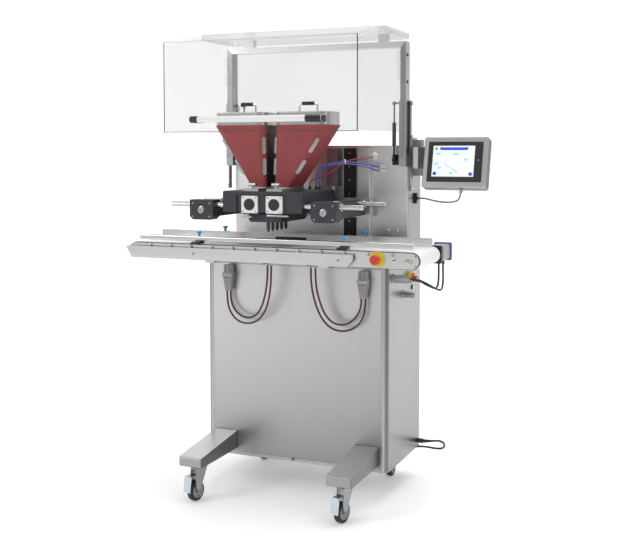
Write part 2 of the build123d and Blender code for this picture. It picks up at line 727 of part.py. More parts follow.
# Depositing head: one dark block with a front recess, two pump chambers and their ways in and out
head_width = 345
head_front = face_y - 170
head_back = carriage_front - 30
head_low = belt_level + 137
head_high = belt_level + 221
recess_half = 112
recess_low = belt_level + 130
recess_high = belt_level + 207
recess_depth = 6
pump_spacing = 107
pump_level = belt_level + 165
gear_teeth = 12
gear_module = 2
gear_width = 30
pump_shaft = 10
shaft_tail = 40
pitch_radius = gear_teeth * gear_module / 2
tip_radius = pitch_radius + 0.9 * gear_module
root_radius = pitch_radius - 1.25 * gear_module
chamber_radius = tip_radius + curved_gap
pump_face = head_front + recess_depth
port_radius = 7
rod_socket = 30
cover_width = 70
cover_height = 68
cover_thick = 9
cap_diameter = 46
cap_thick = 3
cover_level = belt_level + 169
port_y = pump_face + gear_width / 2
line_ports = [(18, 118), (55, 95), (67, 103)]
line_port_radius = 6
line_port_height = 12
with BuildPart() as head_block:
    block(about(line_x, head_width), (head_front, head_back), (head_low, head_high))
    chamfer(head_block.edges().filter_by(Axis.Y).group_by(Axis.Z)[-1], 4)
    block(about(line_x, 2 * recess_half), (head_front, pump_face), (recess_low, recess_high), Mode.SUBTRACT)
    for side in (-1, 1):
        pump_x = line_x + side * pump_spacing / 2
        with BuildSketch(Plane(origin=(pump_x, pump_face, pump_level), x_dir=(1, 0, 0), z_dir=(0, 1, 0))):
            with Locations((-pitch_radius, 0), (pitch_radius, 0)):
                Circle(chamber_radius)
        extrude(amount=gear_width + 2 * curved_gap, mode=Mode.SUBTRACT)
        for gear_x in (pump_x - pitch_radius, pump_x + pitch_radius):
            bar((gear_x, pump_face, pump_level), (0, 1, 0), pump_shaft / 2 + running_fit,
                gear_width + shaft_tail + 1, Mode.SUBTRACT)
        bar((pump_x, port_y, head_low), (0, 0, 1), port_radius, head_high - head_low, Mode.SUBTRACT)
        for y in (front_rod_y, rear_rod_y):
            bar((line_x + side * head_width / 2, y, rod_level_head), (-side, 0, 0),
                rod_radius + running_fit,
                rod_socket, Mode.SUBTRACT)
        bar((pump_x, pump_face - cover_thick, cover_level), (0, -1, 0), cap_diameter / 2, cap_thick)
    for x, y in line_ports:
        bar((mid_x + x, face_y + y, head_high), (0, 0, 1), line_port_radius, line_port_height)

# White pump covers; each holds the front ends of its gear shafts
with BuildPart() as pump_covers:
    for side in (-1, 1):
        pump_x = line_x + side * pump_spacing / 2
        with BuildSketch(Plane(origin=(pump_x, pump_face, cover_level), x_dir=(1, 0, 0), z_dir=(0, -1, 0))):
            RectangleRounded(cover_width, cover_height, 5)
        extrude(amount=cover_thick)
        for gear_x in (pump_x - pitch_radius, pump_x + pitch_radius):
            bar((gear_x, pump_face, pump_level), (0, -1, 0), pump_shaft / 2 + running_fit,
                cover_thick - 3, Mode.SUBTRACT)


def involute(radius):
    """The angle by which an involute has turned away at a radius."""
    base = pitch_radius * math.cos(pressure_angle)
    if radius <= base:
        return 0
    roll = math.acos(base / radius)
    return math.tan(roll) - roll


pressure_angle = math.radians(25)
backlash = 0.3
half_tooth = math.pi / gear_teeth / 2 - backlash / 2 / pitch_radius


def flank(radius, middle, way):
    """A point of a tooth's flank, on one side of the tooth's middle."""
    angle = middle + way * (half_tooth + involute(pitch_radius) - involute(radius))
    return (radius * math.cos(angle), radius * math.sin(angle))


def pump_gear(x, phase):
    """A spur gear with its shaft ends, seen from the front of the head."""
    front = Plane(origin=(x, pump_face + curved_gap, pump_level), x_dir=(1, 0, 0), z_dir=(0, -1, 0))
    radii = (root_radius, (root_radius + tip_radius) / 2, tip_radius)
    pitch = 2 * math.pi / gear_teeth
    with BuildSketch(front) as section:
        with BuildLine():
            for tooth in range(gear_teeth):
                middle = phase + tooth * pitch
                rising = [flank(r, middle, -1) for r in radii]
                falling = [flank(r, middle, 1) for r in reversed(radii)]
                ThreePointArc(*rising)
                Line(rising[2], falling[0])
                ThreePointArc(*falling)
                Line(falling[2], flank(root_radius, middle + pitch, -1))
        make_face()
    extrude(section.sketch, amount=-gear_width)
    bar((x, pump_face - cover_thick + 4, pump_level), (0, 1, 0), pump_shaft / 2,
        cover_thick - 4 + gear_width + shaft_tail)


half_pitch = math.pi / gear_teeth
with BuildPart() as left_drive_gear:
    pump_gear(line_x - pump_spacing / 2 - pitch_radius, 0)
with BuildPart() as left_idler_gear:
    pump_gear(line_x - pump_spacing / 2 + pitch_radius, half_pitch)
with BuildPart() as right_drive_gear:
    pump_gear(line_x + pump_spacing / 2 - pitch_radius, 0)
with BuildPart() as right_idler_gear:
    pump_gear(line_x + pump_spacing / 2 + pitch_radius, half_pitch)

# Nozzle manifold under the head, with spacer strips above and a row of nozzles below
manifold_half = 72
manifold_front = face_y - 140
manifold_back = face_y + 110
manifold_low = belt_level + 98
manifold_high = belt_level + 130
nozzle_count = 5
nozzle_pitch = 42
nozzle_radius = 7
nozzle_length = 40
first_nozzle_y = face_y - 110
with BuildPart() as nozzle_manifold:
    block(about(line_x, 2 * manifold_half), (manifold_front, manifold_back), (manifold_low, manifold_high))
    chamfer(nozzle_manifold.edges().filter_by(Axis.Y).group_by(Axis.Z)[0], 8)
    for side in (-1, 1):
        block(about(line_x + side * pump_spacing / 2, cover_width), (manifold_front - 20, manifold_back),
              (manifold_high, head_low))
    for i in range(nozzle_count):
        nozzle_y = first_nozzle_y + i * nozzle_pitch
        with BuildSketch(Plane(origin=(line_x, nozzle_y, manifold_low), x_dir=(1, 0, 0), z_dir=(0, -1, 0))):
            with BuildLine():
                Polyline((3, 0), (nozzle_radius, 0), (nozzle_radius, -nozzle_length * 0.7),
                         (nozzle_radius * 0.6, -nozzle_length), (3, -nozzle_length), close=True)
            make_face()
        revolve(axis=Axis((line_x, nozzle_y, 0), (0, 0, 1)))

# Cross rods with collars, and the lift rod, all bright steel
rod_reach = 414
collar_radius = 15
collar_width = 12
with BuildPart() as cross_rods:
    for side in (-1, 1):
        for y in (front_rod_y, rear_rod_y):
            start = head_width / 2 - rod_socket + 1
            bar((line_x + side * start, y, rod_level_head), (side, 0, 0), rod_radius, rod_reach - start)
            collar = arm_spacing / 2 + arm_block_width / 2
            bar((line_x + side * collar, y, rod_level_head), (side, 0, 0), collar_radius, collar_width)
    bar((actuator_x, lift_rod_y, arm_high), (0, 0, 1), lift_rod / 2,
        actuator_bottom - arm_high + lift_rod * 3)

# Hoppers: jacketed wedges, upright on the inner side and slanted outwards on the other
hopper_gap = 36
hopper_top_width = 236
hopper_foot_width = 67
hopper_front = face_y - 106
hopper_back = face_y + 63
hopper_foot_depth = 150
hopper_low = belt_level + 236
hopper_high = belt_level + 483
hopper_wall = 12
hopper_top_round = 40
hopper_foot_round = 14
hopper_y = (hopper_front + hopper_back) / 2


def hopper_section(side, level, width, depth, corner):
    """A rounded rectangle whose inner side keeps to the hopper's upright wall."""
    inner = hopper_gap / 2
    with BuildSketch(Plane.XY.offset(level)) as section:
        with Locations((line_x + side * (inner + width / 2), hopper_y)):
            RectangleRounded(width, depth, corner)
    return section.sketch


def inner_section(side, level, width, depth, corner):
    """The hollow's section at a level, one wall inside the jacket."""
    with BuildSketch(Plane.XY.offset(level)) as section:
        with Locations((line_x + side * (hopper_gap / 2 + width / 2), hopper_y)):
            RectangleRounded(width - 2 * hopper_wall, depth - 2 * hopper_wall, max(corner - hopper_wall, 2))
    return section.sketch


hopper_depth = hopper_back - hopper_front
with BuildPart() as hoppers:
    for side in (-1, 1):
        loft([hopper_section(side, hopper_low, hopper_foot_width, hopper_foot_depth, hopper_foot_round),
              hopper_section(side, hopper_high, hopper_top_width, hopper_depth, hopper_top_round)],
              ruled=True)
    for side in (-1, 1):
        loft([inner_section(side, hopper_low, hopper_foot_width, hopper_foot_depth, hopper_foot_round),
              inner_section(side, hopper_high, hopper_top_width, hopper_depth, hopper_top_round)],
             ruled=True, mode=Mode.SUBTRACT)

# Steel trim of the hoppers: foot plates with T-knobs, and rims that carry the lids
foot_front = face_y - 166
rim_inset = 5
rim_high = belt_level + 530
rim_sheet = 3
knob_level = belt_level + 248
knob_y = face_y - 150
with BuildPart() as hopper_trim:
    for side in (-1, 1):
        foot_x = line_x + side * (hopper_gap / 2 + hopper_foot_width / 2)
        block(about(foot_x, hopper_foot_width), (foot_front, hopper_y + hopper_foot_depth / 2),
              (head_high, hopper_low - 5))
        block(about(foot_x, hopper_foot_width), about(hopper_y, hopper_foot_depth),
              (hopper_low - 5, hopper_low))
        bar((foot_x, port_y + 28, head_high), (0, 0, 1), port_radius, hopper_low - head_high, Mode.SUBTRACT)
        bar((foot_x, knob_y, hopper_low - 5), (0, 0, 1), 5, knob_level - hopper_low + 5)
        bar((foot_x - 16, knob_y, knob_level), (1, 0, 0), 7, 32)
        rim_x = line_x + side * (hopper_gap + hopper_top_width) / 2
        with BuildSketch(Plane.XY.offset(hopper_high)):
            with Locations((rim_x, hopper_y)):
                RectangleRounded(hopper_top_width - 2 * rim_inset, hopper_depth - 2 * rim_inset,
                                 hopper_top_round - rim_inset)
                RectangleRounded(hopper_top_width - 2 * rim_inset - 2 * rim_sheet,
                                 hopper_depth - 2 * rim_inset - 2 * rim_sheet,
                                 hopper_top_round - rim_inset - rim_sheet, mode=Mode.SUBTRACT)
        extrude(amount=rim_high - hopper_high)

# Lids with U-shaped handles
lid_thick = 5
lid_plug = 12
handle_rise = 42
handle_span = 78
handle_bar = 9
grip_length = 52
grip_diameter = 15


def lid(side):
    """A flat lid with a plug inside the rim and a bent handle with a grip."""
    lid_x = line_x + side * (hopper_gap + hopper_top_width) / 2
    inside = rim_inset + rim_sheet + 1
    with BuildSketch(Plane.XY.offset(rim_high - lid_plug)) as section:
        with Locations((lid_x, hopper_y)):
            RectangleRounded(hopper_top_width - 2 * inside, hopper_depth - 2 * inside,
                             hopper_top_round - inside)
    extrude(section.sketch, amount=lid_plug)
    with BuildSketch(Plane.XY.offset(rim_high)) as section:
        with Locations((lid_x, hopper_y)):
            RectangleRounded(hopper_top_width - rim_inset, hopper_depth - rim_inset,
                             hopper_top_round - rim_inset / 2)
    extrude(section.sketch, amount=lid_thick)
    top = rim_high + lid_thick
    rise = handle_rise - grip_diameter / 2
    with BuildLine() as path:
        FilletPolyline((lid_x - handle_span / 2, hopper_y, top),
                       (lid_x - handle_span / 2, hopper_y, top + rise),
                       (lid_x + handle_span / 2, hopper_y, top + rise),
                       (lid_x + handle_span / 2, hopper_y, top),
                       radius=14)
    with BuildSketch(Plane(origin=(lid_x - handle_span / 2, hopper_y, top), z_dir=(0, 0, 1))) as section:
        Circle(handle_bar / 2)
    sweep(section.sketch, path=path.line)
    bar((lid_x - grip_length / 2, hopper_y, top + rise), (1, 0, 0), grip_diameter / 2, grip_length)


with BuildPart() as left_lid:
    lid(-1)
with BuildPart() as right_lid:
    lid(1)

# Guard frame: two posts, a crossbar and the brackets that carry the clear panels and the roof
post_x = guard_width / 2 + guard_sheet + 2 - post_width / 2
post_front = tower_face - 62
post_back = post_front + post_depth
pin_radius = 4
pin_levels = (cabinet_top + 650, cabinet_top + 511)
slot_bottom = cabinet_top + 430
gas_x = 357
gas_y = tower_face - 22
roof_sheet = 3
roof_flange = 25
stand_off_width = 40
bracket_depth = 46
panel_outer = guard_width / 2
panel_inner = panel_outer - guard_sheet
channel_out = post_width / 2 + sliding_fit + channel_wall
link_gap = 1.5
link_plate = 5
link_start = post_x + channel_out + link_gap
window_step = channel_top + guard_drop + 10
link_low = cabinet_top + 300
link_width = 22
gas_rod = 7
gas_eye = 8
gas_body = 16
gas_low = cabinet_top + 475
gas_high = cabinet_top + 570
gas_rod_end = cabinet_top + 552
ball_level = cabinet_top + 417
with BuildPart() as guard_frame:
    for side in (-1, 1):
        x = mid_x + side * post_x
        block(about(x, post_width), (post_front, post_back), (post_bottom, crossbar_top))
        bracket = sorted((mid_x + side * (panel_inner - 10), mid_x + side * panel_inner))
        block(bracket, (post_front - bracket_depth, post_front), (window_step, crossbar_top - 40))
        block(about(mid_x + side * (post_x - 90), stand_off_width), (post_front + 10, post_back - 10),
              (crossbar_top, guard_top - roof_sheet))
        for level in pin_levels:
            reach_in = gas_x - 6 if level == pin_levels[0] else post_x
            bar((mid_x + side * reach_in, gas_y, level), (side, 0, 0), pin_radius,
                link_start - reach_in)
    block(about(mid_x, 2 * post_x), (post_front, post_back), (crossbar_top - crossbar_height, crossbar_top))
    for side in (-1, 1):
        link_x = mid_x + min(side * link_start, side * (link_start + link_plate))
        with BuildSketch(Plane(origin=(link_x, gas_y, (link_low + pin_levels[0]) / 2),
                               x_dir=(0, 0, 1), z_dir=(1, 0, 0))):
            SlotCenterToCenter(pin_levels[0] - link_low, link_width)
        extrude(amount=link_plate)
        for level in (pin_levels[0], pin_levels[1], link_low):
            outer = mid_x + side * (link_start + link_plate)
            bar((outer, gas_y, level), (side, 0, 0), 9, 8)
        eye_x = mid_x + side * (gas_x - 6)
        bar((eye_x, gas_y, pin_levels[0]), (-side, 0, 0), gas_eye, 12)
        bar((mid_x + side * (gas_x - 12), gas_y, gas_rod_end), (0, 0, 1), gas_rod / 2,
            pin_levels[0] - gas_rod_end)

# Clear screen: a bent front with a sloped top, two side panels and the rear window
slope_run = guard_front - guard_slope_end
side_low = guard_bottom + 5
side_tab_low = cabinet_top + 423
tab_length = 50
slant_run = 122
panel_back = post_front - sliding_fit - channel_wall - 2
tab_front = panel_back - face_y - tab_length
slant_start = tab_front - slant_run
window_y = post_front + 20
window_sheet = 4
window_low = cabinet_top + 534
front_y = face_y - guard_front
with BuildPart() as guard_screen:
    with BuildSketch(Plane(origin=(mid_x - panel_outer, 0, 0), x_dir=(0, 1, 0), z_dir=(1, 0, 0))):
        with BuildLine():
            bend = FilletPolyline((front_y, guard_bottom), (front_y, guard_front_top),
                                  (front_y + slope_run, guard_top - roof_sheet), radius=12)
            offset(bend, amount=guard_sheet, side=Side.RIGHT, closed=True)
        make_face()
    extrude(amount=guard_width)
    for side in (-1, 1):
        start = mid_x + min(side * panel_outer, side * panel_inner)
        with BuildSketch(Plane(origin=(start, face_y, 0), x_dir=(0, 1, 0), z_dir=(1, 0, 0))):
            with BuildLine():
                side_front = guard_sheet - guard_front
                screen_top = guard_top - roof_sheet - 6
                FilletPolyline((side_front, guard_front_top - 10), (side_front, side_low),
                               (slant_start, side_low), (tab_front, side_tab_low),
                               (panel_back - face_y, side_tab_low), (panel_back - face_y, screen_top),
                               (-guard_slope_end, screen_top), radius=20)
                Line((-guard_slope_end, screen_top), (side_front, guard_front_top - 10))
            make_face()
        extrude(amount=guard_sheet)
    block(about(mid_x, 2 * post_x - post_width), about(window_y, window_sheet),
          (window_step, crossbar_top - crossbar_height))
    block(about(mid_x, 2 * (post_x - channel_out - sliding_fit)), about(window_y, window_sheet),
          (window_low, window_step))

# Grey roof sheet with down-turned edges, from the sloped top to behind the posts
roof_front = face_y - guard_slope_end
roof_back = tower_face + 4
with BuildPart() as guard_roof:
    block(about(mid_x, guard_width + 2 * roof_sheet), (roof_front, roof_back),
          (guard_top - roof_flange, guard_top))
    fillet(guard_roof.edges().filter_by(Axis.Z).group_by(Axis.Y)[-1], 12)
    block(about(mid_x, guard_width), (roof_front, roof_back - roof_sheet),
          (guard_top - roof_flange, guard_top - roof_sheet), Mode.SUBTRACT)

# Handle across the front: a tube between two black end brackets on the screen
handle_y = face_y - guard_front - handle_stand_off - handle_diameter / 2
handle_x = mid_x + 11
end_length = 34
with BuildPart() as guard_handle:
    bar((handle_x - handle_length / 2, handle_y, handle_level), (1, 0, 0), handle_diameter / 2,
        handle_length)
    for side in (-1, 1):
        end_x = handle_x + side * (handle_length / 2 - end_length / 2)
        block(about(end_x, end_length), (handle_y, front_y), about(handle_level, handle_diameter))
    for side in (-1, 1):
        end_x = handle_x + side * (handle_length / 2 - end_length / 2)
        handle_end = (end_x, front_y, handle_level)
        fillet(guard_handle.edges().filter_by(Axis.Z).sort_by_distance(handle_end)[0:2], 4)

# Gas springs: cylinder, lower link, ball end and its bracket on the tower
with BuildPart() as gas_springs:
    for side in (-1, 1):
        x = mid_x + side * (gas_x - 12)
        bar((x, gas_y, gas_low), (0, 0, 1), gas_body / 2, gas_high - gas_low)
        bar((x, gas_y, gas_low + 10), (0, 0, 1), gas_rod / 2 + curved_gap, gas_high - gas_low,
            Mode.SUBTRACT)
        bar((x, gas_y, ball_level), (0, 0, 1), 4, gas_low - ball_level)
        bar((x, gas_y - 9, ball_level), (0, 1, 0), 8, tower_face - gas_y + 9)
        block(about(x, 26), (tower_face - 5, tower_face), about(ball_level, 44))

# Operator panel: tilted housing with its arm, the dark front, and the brackets on the tower:
# the panel's swivel bracket and the guard's channels with their open-topped slots
hinge_x = mid_x + 432
hinge_y = tower_face + 72
hinge_pin = 12
knuckle = 26
knuckle_height = 30
arm_height = 90
hinge_low = cabinet_top + 350
panel_cable_x = 26
panel_gland_length = 14
panel_x = mid_x + panel_box_left + panel_box_width / 2
tilt = math.radians(panel_tilt)
panel_normal = Vector(0, -math.cos(tilt), math.sin(tilt))
panel_level = panel_box_bottom + panel_box_height * math.cos(tilt) / 2
panel_y = tower_face - panel_box_ahead + panel_box_height * math.sin(tilt) / 2
panel_face = Plane(origin=(panel_x, panel_y, panel_level), x_dir=(1, 0, 0), z_dir=panel_normal)
panel_outlet = panel_face.from_local_coords((panel_cable_x, -panel_box_height / 2, -panel_box_depth / 2))
bezel_width = 222
bezel_height = 165
bezel_sink = 2
bezel_ledge = 8
screen_width = 170
screen_height = 127
with BuildPart() as tower_brackets:
    for side in (-1, 1):
        x = mid_x + side * post_x
        deep = (post_front - sliding_fit - channel_wall, post_back + sliding_fit + channel_wall)
        block(about(x, 2 * channel_out), deep, (channel_bottom, channel_top))
        block(about(x, 2 * channel_out), (deep[1], tower_face), (channel_bottom + 5, tower_top - 6))
        block(about(x, 2 * (channel_out - channel_wall)),
              (post_front - sliding_fit, post_back + sliding_fit),
              (channel_bottom, channel_top), Mode.SUBTRACT)
        block(about(x, 4 * channel_out), about(gas_y, 2 * pin_radius + 2), (slot_bottom, channel_top),
              Mode.SUBTRACT)
    block((cabinet_right, cabinet_right + 6), about(hinge_y, 60),
          (hinge_low - 10, hinge_low + arm_height + 70))
    for low in (hinge_low, hinge_low + knuckle_height + arm_height):
        bar((hinge_x, hinge_y, low), (0, 0, 1), knuckle / 2, knuckle_height)
        block((cabinet_right + 6, hinge_x), about(hinge_y, knuckle), (low, low + knuckle_height))
    bar((hinge_x, hinge_y, hinge_low), (0, 0, 1), hinge_pin / 2, 2 * knuckle_height + arm_height)
with BuildPart() as hmi_housing:
    with BuildSketch(panel_face):
        RectangleRounded(panel_box_width, panel_box_height, 8)
    extrude(amount=-panel_box_depth)
    chamfer(hmi_housing.faces().sort_by(Axis(panel_face.origin, panel_normal))[-1].edges(), 3)
    with BuildSketch(panel_face):
        Rectangle(bezel_width, bezel_height)
    extrude(amount=-bezel_sink, mode=Mode.SUBTRACT)
    with BuildSketch(panel_face):
        Rectangle(bezel_width - 2 * bezel_ledge, bezel_height - 2 * bezel_ledge)
    extrude(amount=-panel_box_depth / 2, mode=Mode.SUBTRACT)
    with BuildSketch(panel_face.offset(-2 * bezel_sink)):
        Rectangle(panel_box_width - 2 * panel_sheet, panel_box_height - 2 * panel_sheet)
    extrude(amount=2 * bezel_sink + panel_sheet - panel_box_depth, mode=Mode.SUBTRACT)
    arm_low_level = hinge_low + knuckle_height
    with BuildSketch(panel_face.offset(-panel_box_depth)):
        with Locations((-60, 0)):
            Rectangle(70, 80)
    extrude(amount=-26)
    with BuildSketch(Plane.XY.offset(arm_low_level + curved_gap)):
        with BuildLine():
            boss_y = panel_y + panel_box_depth * math.cos(tilt) + 14
            Polyline((hinge_x, hinge_y - 5), (hinge_x + 30, hinge_y - 5), (panel_x - 30, boss_y + 6),
                     (panel_x - 30, boss_y - 6), (panel_x - 90, boss_y - 6), (hinge_x, hinge_y - 13),
                     close=True)
        make_face()
        with Locations((hinge_x, hinge_y)):
            Circle(knuckle / 2)
            Circle(hinge_pin / 2 + running_fit, mode=Mode.SUBTRACT)
    extrude(amount=arm_height - 2 * curved_gap)
    with BuildSketch(Plane(origin=panel_outlet, z_dir=-panel_face.y_dir)):
        Circle(7)
    extrude(amount=panel_gland_length)
with BuildPart() as hmi_panel:
    with BuildSketch(panel_face.offset(-bezel_sink)):
        RectangleRounded(bezel_width - 1, bezel_height - 1, 4)
    extrude(amount=bezel_sink + 2)
    with BuildSketch(panel_face.offset(2)):
        with Locations((-6, 2)):
            Rectangle(screen_width, screen_height)
    extrude(amount=-1, mode=Mode.SUBTRACT)

# Control and power unit on a tray that spans the ladder frame
tray_thick = 4
control_width = 420
control_depth = 180
control_height = 430
with BuildPart() as control_box:
    tray_y = face_y + cabinet_depth / 2
    block(about(mid_x, leg_spacing + frame_bar_width), about(tray_y, control_depth + 2 * frame_bar),
          (leg_low, leg_low + tray_thick))
    block(about(mid_x, control_width), about(tray_y, control_depth),
          (leg_low + tray_thick, leg_low + tray_thick + control_height))

# Plugs, connectors, glands and air fittings
plug_width = 48
plug_tip_width = 34
plug_depth = 44
plug_high = cabinet_top - 18
plug_low = cabinet_top - 126
left_plug_x = mid_x - 289
right_plug_x = mid_x + 306
connector_radius = 13
connector_length = 72
socket_length = 52
socket_flange = 6
side_sockets = [(62, 51, connector_length), (96, 60, connector_length), (192, 132, socket_length)]
tower_fittings = [(276, 388), (276, 371), (300, 195), (340, 192), (255, 429)]
fitting_radius = 7
fitting_length = 16
clip_low = cabinet_top - 4
clip_high = cabinet_top + 6
clip_depth = 75
cable_radius = 4
left_clip_x = mid_x - 74
right_clip_x = mid_x + 117
motor_gland_low = axis_level - motor_body / 2 - 16
motor_gland_y = face_y + 270
panel_gland_y = tower_face + 89
panel_gland_level = cabinet_top + 255
mains_gland_y = cabinet_back - 35
mains_gland_level = 150
mains_gland_length = 32
with BuildPart() as cable_fittings:
    for plug_x in (left_plug_x, right_plug_x):
        with BuildSketch(Plane(origin=(plug_x, face_y, 0), x_dir=(1, 0, 0), z_dir=(0, -1, 0))):
            with BuildLine():
                waist = plug_low + (plug_high - plug_low) * 0.45
                Polyline((-plug_width / 2, plug_high), (plug_width / 2, plug_high), (plug_width / 2, waist),
                         (plug_tip_width / 2, plug_low), (-plug_tip_width / 2, plug_low),
                         (-plug_width / 2, waist), close=True)
            make_face()
        extrude(amount=plug_depth)
        plug_front = (plug_x, face_y - plug_depth, (plug_low + plug_high) / 2)
        fillet(cable_fittings.faces().sort_by_distance(plug_front)[0].edges(), 6)
    for y, drop, length in side_sockets:
        socket_level = cabinet_top - drop
        bar((cabinet_right, face_y + y, socket_level), (1, 0, 0), connector_radius + 4, socket_flange)
        bar((cabinet_right + socket_flange, face_y + y, socket_level), (1, 0, 0), connector_radius,
            length - socket_flange)
    for clip_x in (left_clip_x, right_clip_x):
        block(about(clip_x, 30), (front_plate_y, front_plate_y + side_plate), (clip_low, side_bottom))
        block(about(clip_x, 30), (front_plate_y + side_plate, front_plate_y + clip_depth),
              (clip_low, clip_high))
    block((cabinet_right, cabinet_right + 14), about(panel_gland_y, 26), about(panel_gland_level, 46))
    with BuildSketch(Plane(origin=(cabinet_right, mains_gland_y, mains_gland_level), z_dir=(1, 0, 0))):
        Circle(11)
    extrude(amount=mains_gland_length, taper=6)
    for x in (drive_x - 9, drive_x + 9):
        bar((x, motor_gland_y, motor_gland_low), (0, 0, 1), 7,
            axis_level - motor_body / 2 - motor_gland_low)
    for x, rise in tower_fittings:
        bar((mid_x + x, tower_face, cabinet_top + rise), (0, -1, 0), fitting_radius, fitting_length)


def cable(points, radius, datum):
    """A round cable along straight runs joined by large arcs, with heights from a datum."""
    corners = [Vector(mid_x + x, face_y + y, datum + z) for x, y, z in points]
    radii = []
    for before, corner, after in zip(corners, corners[1:], corners[2:]):
        turned = math.radians((corner - before).get_angle(after - corner))
        shorter = min((corner - before).length, (after - corner).length)
        radii.append(0.45 * shorter / math.tan(turned / 2))
    with BuildLine() as path:
        FilletPolyline(*corners, radius=radii)
    route = path.wire()
    with BuildSketch(Plane(origin=route @ 0, z_dir=route % 0)) as section:
        Circle(radius)
    swept = sweep(section.sketch, path=route, mode=Mode.PRIVATE)
    add(swept)
    share = swept.volume / (math.pi * radius ** 2 * route.length)
    print("least radius", round(min(radii)), "length", round(route.length), "volume share", round(share, 4))


# Twin heater leads: each strand hangs from its plug and rises to a clip under the conveyor
left_outer = [(-297, -22, -126), (-297, -22, -170), (-280, -27, -216), (-243, -36, -248), (-194, -45, -256),
              (-143, -55, -242), (-104, -65, -202), (-82, -74, -150), (-70, -81, -98), (-65, -85, -48),
              (-65, -85, -4)]
left_inner = [(-281, -22, -126), (-281, -22, -162), (-264, -27, -200), (-231, -33, -226), (-192, -41, -233),
              (-152, -50, -220), (-121, -60, -184), (-102, -69, -138), (-89, -77, -92), (-83, -81, -46),
              (-83, -81, -4)]
right_outer = [(315, -22, -126), (315, -22, -170), (300, -28, -218), (266, -36, -250), (220, -45, -260),
               (176, -55, -246), (143, -65, -206), (123, -74, -152), (112, -81, -98), (108, -85, -48),
               (108, -85, -4)]
right_inner = [(297, -22, -126), (297, -22, -162), (279, -27, -200), (250, -33, -228), (213, -41, -236),
               (178, -50, -222), (153, -60, -186), (138, -69, -138), (129, -77, -92), (126, -81, -46),
               (126, -81, -4)]

# Two motor cables from the glands under the motor to the connectors on the cabinet's side
motor_near = [(528, 270, -6), (528, 270, -40), (532, 256, -72), (537, 226, -92), (541, 190, -99),
              (541, 155, -95), (534, 124, -85), (517, 104, -72), (497, 96, -60), (472, 96, -60)]
motor_far = [(546, 270, -6), (546, 270, -42), (552, 252, -78), (559, 216, -99), (564, 174, -104),
             (563, 132, -97), (553, 96, -82), (530, 72, -64), (502, 62, -51), (472, 62, -51)]
with BuildPart() as machine_cables:
    for route in (left_outer, left_inner, right_outer, right_inner, motor_near, motor_far):
        cable(route, cable_radius, cabinet_top)

# Panel cable from the gland under the housing to the gland on the tower's side
panel_cable_radius = 3.5
panel_start = panel_outlet - panel_face.y_dir * panel_gland_length - Vector(mid_x, face_y, cabinet_top)
panel_drop = panel_start - panel_face.y_dir * 22
panel_route = [tuple(panel_start), tuple(panel_drop), (632, 170, 248), (604, 187, 238), (570, 211, 235),
               (536, 237, 236), (508, 264, 239), (486, 291, 243), (466, 316, 248), (448, 337, 252),
               (432, 347, 255), (414, 347, 255)]
with BuildPart() as panel_cable:
    cable(panel_route, panel_cable_radius, cabinet_top)

# Signal cable and two air hoses from the tower's fittings to the ports on the head
signal_radius = 2.5
hose_radius = 3
signal_route = [(255, 242, 429), (255, 222, 429), (226, 190, 423), (157, 168, 414), (112, 132, 366),
                (66, 120, 344), (33, 118, 338), (18, 118, 326), (18, 118, 307)]
upper_hose = [(276, 242, 388), (276, 224, 388), (246, 190, 400), (160, 152, 410), (100, 122, 400),
              (66, 102, 384), (55, 95, 352), (55, 95, 307)]
lower_hose = [(276, 242, 371), (276, 220, 371), (248, 182, 388), (163, 144, 404), (104, 114, 393),
              (77, 106, 376), (67, 103, 345), (67, 103, 307)]
with BuildPart() as head_lines:
    cable(signal_route, signal_radius, cabinet_top)
    cable(upper_hose, hose_radius, cabinet_top)
    cable(lower_hose, hose_radius, cabinet_top)

# Mains cord: out of its gland in a small loop, behind the cabinet and down to the floor
mains_radius = 4.5
floor_gap = 0.1
mains_route = [(432, 395, 150), (464, 395, 150), (492, 404, 146), (508, 426, 137), (507, 452, 126),
               (489, 472, 116), (460, 481, 110), (428, 482, 108), (396, 480, 106), (362, 478, 97),
               (328, 477, 80), (296, 475.5, 57), (264, 475, 36), (232, 474.5, 18), (200, 474, 8),
               (170, 474, 4.6),
               (140, 474, 4.6)]
with BuildPart() as mains_cord:
    cable(mains_route, mains_radius, 0)

# The rest of the mains cord, put away behind the cabinet as a coil of two layers
coil_pitch = 9.6
coil_turns = 3
coil_inner = 40
coil_x = mid_x + mains_route[-1][0]
coil_level = mains_radius + floor_gap
coil_tail = 56


def half_turn(start, radius, level):
    """A half circle that starts at the coil's near or far side and ends on the other."""
    way = 1 if start[1] else -1
    y = start[0]
    middle = (coil_x - way * radius, y + way * radius, level)
    ThreePointArc((coil_x, y, level), middle, (coil_x, y + 2 * way * radius, level))
    return (y + 2 * way * radius, not start[1])


with BuildPart() as mains_coil:
    with BuildLine() as winding:
        outward = [coil_inner + (i + 1) * coil_pitch / 2 for i in range(2 * coil_turns)]
        place = (face_y + mains_route[-1][1], True)
        for radius in reversed(outward):
            place = half_turn(place, radius, coil_level)
        low_end = Vector(coil_x, place[0], coil_level)
        high_end = Vector(coil_x, place[0] + 2 * coil_inner, coil_level + coil_pitch)
        control = (high_end - low_end).length / 2
        crossing = (low_end + high_end) / 2 - Vector(control, 0, 0)
        TangentArc(low_end, crossing, tangent=(-1, 0, 0))
        TangentArc(crossing, high_end, tangent=high_end - low_end)
        place = (high_end.Y, False)
        for radius in outward[:-1]:
            place = half_turn(place, radius, high_end.Z)
        last = outward[-1]
        side_point = Vector(coil_x - last, place[0] + last, high_end.Z)
        TangentArc((coil_x, place[0], high_end.Z), side_point, tangent=(-1, 0, 0))
        Line(side_point, side_point + Vector(0, coil_tail, 0))
    wound = winding.wire()
    with BuildSketch(Plane(origin=wound @ 0, z_dir=wound % 0)):
        Circle(mains_radius)
    sweep(path=wound)
coil_length = wound.length
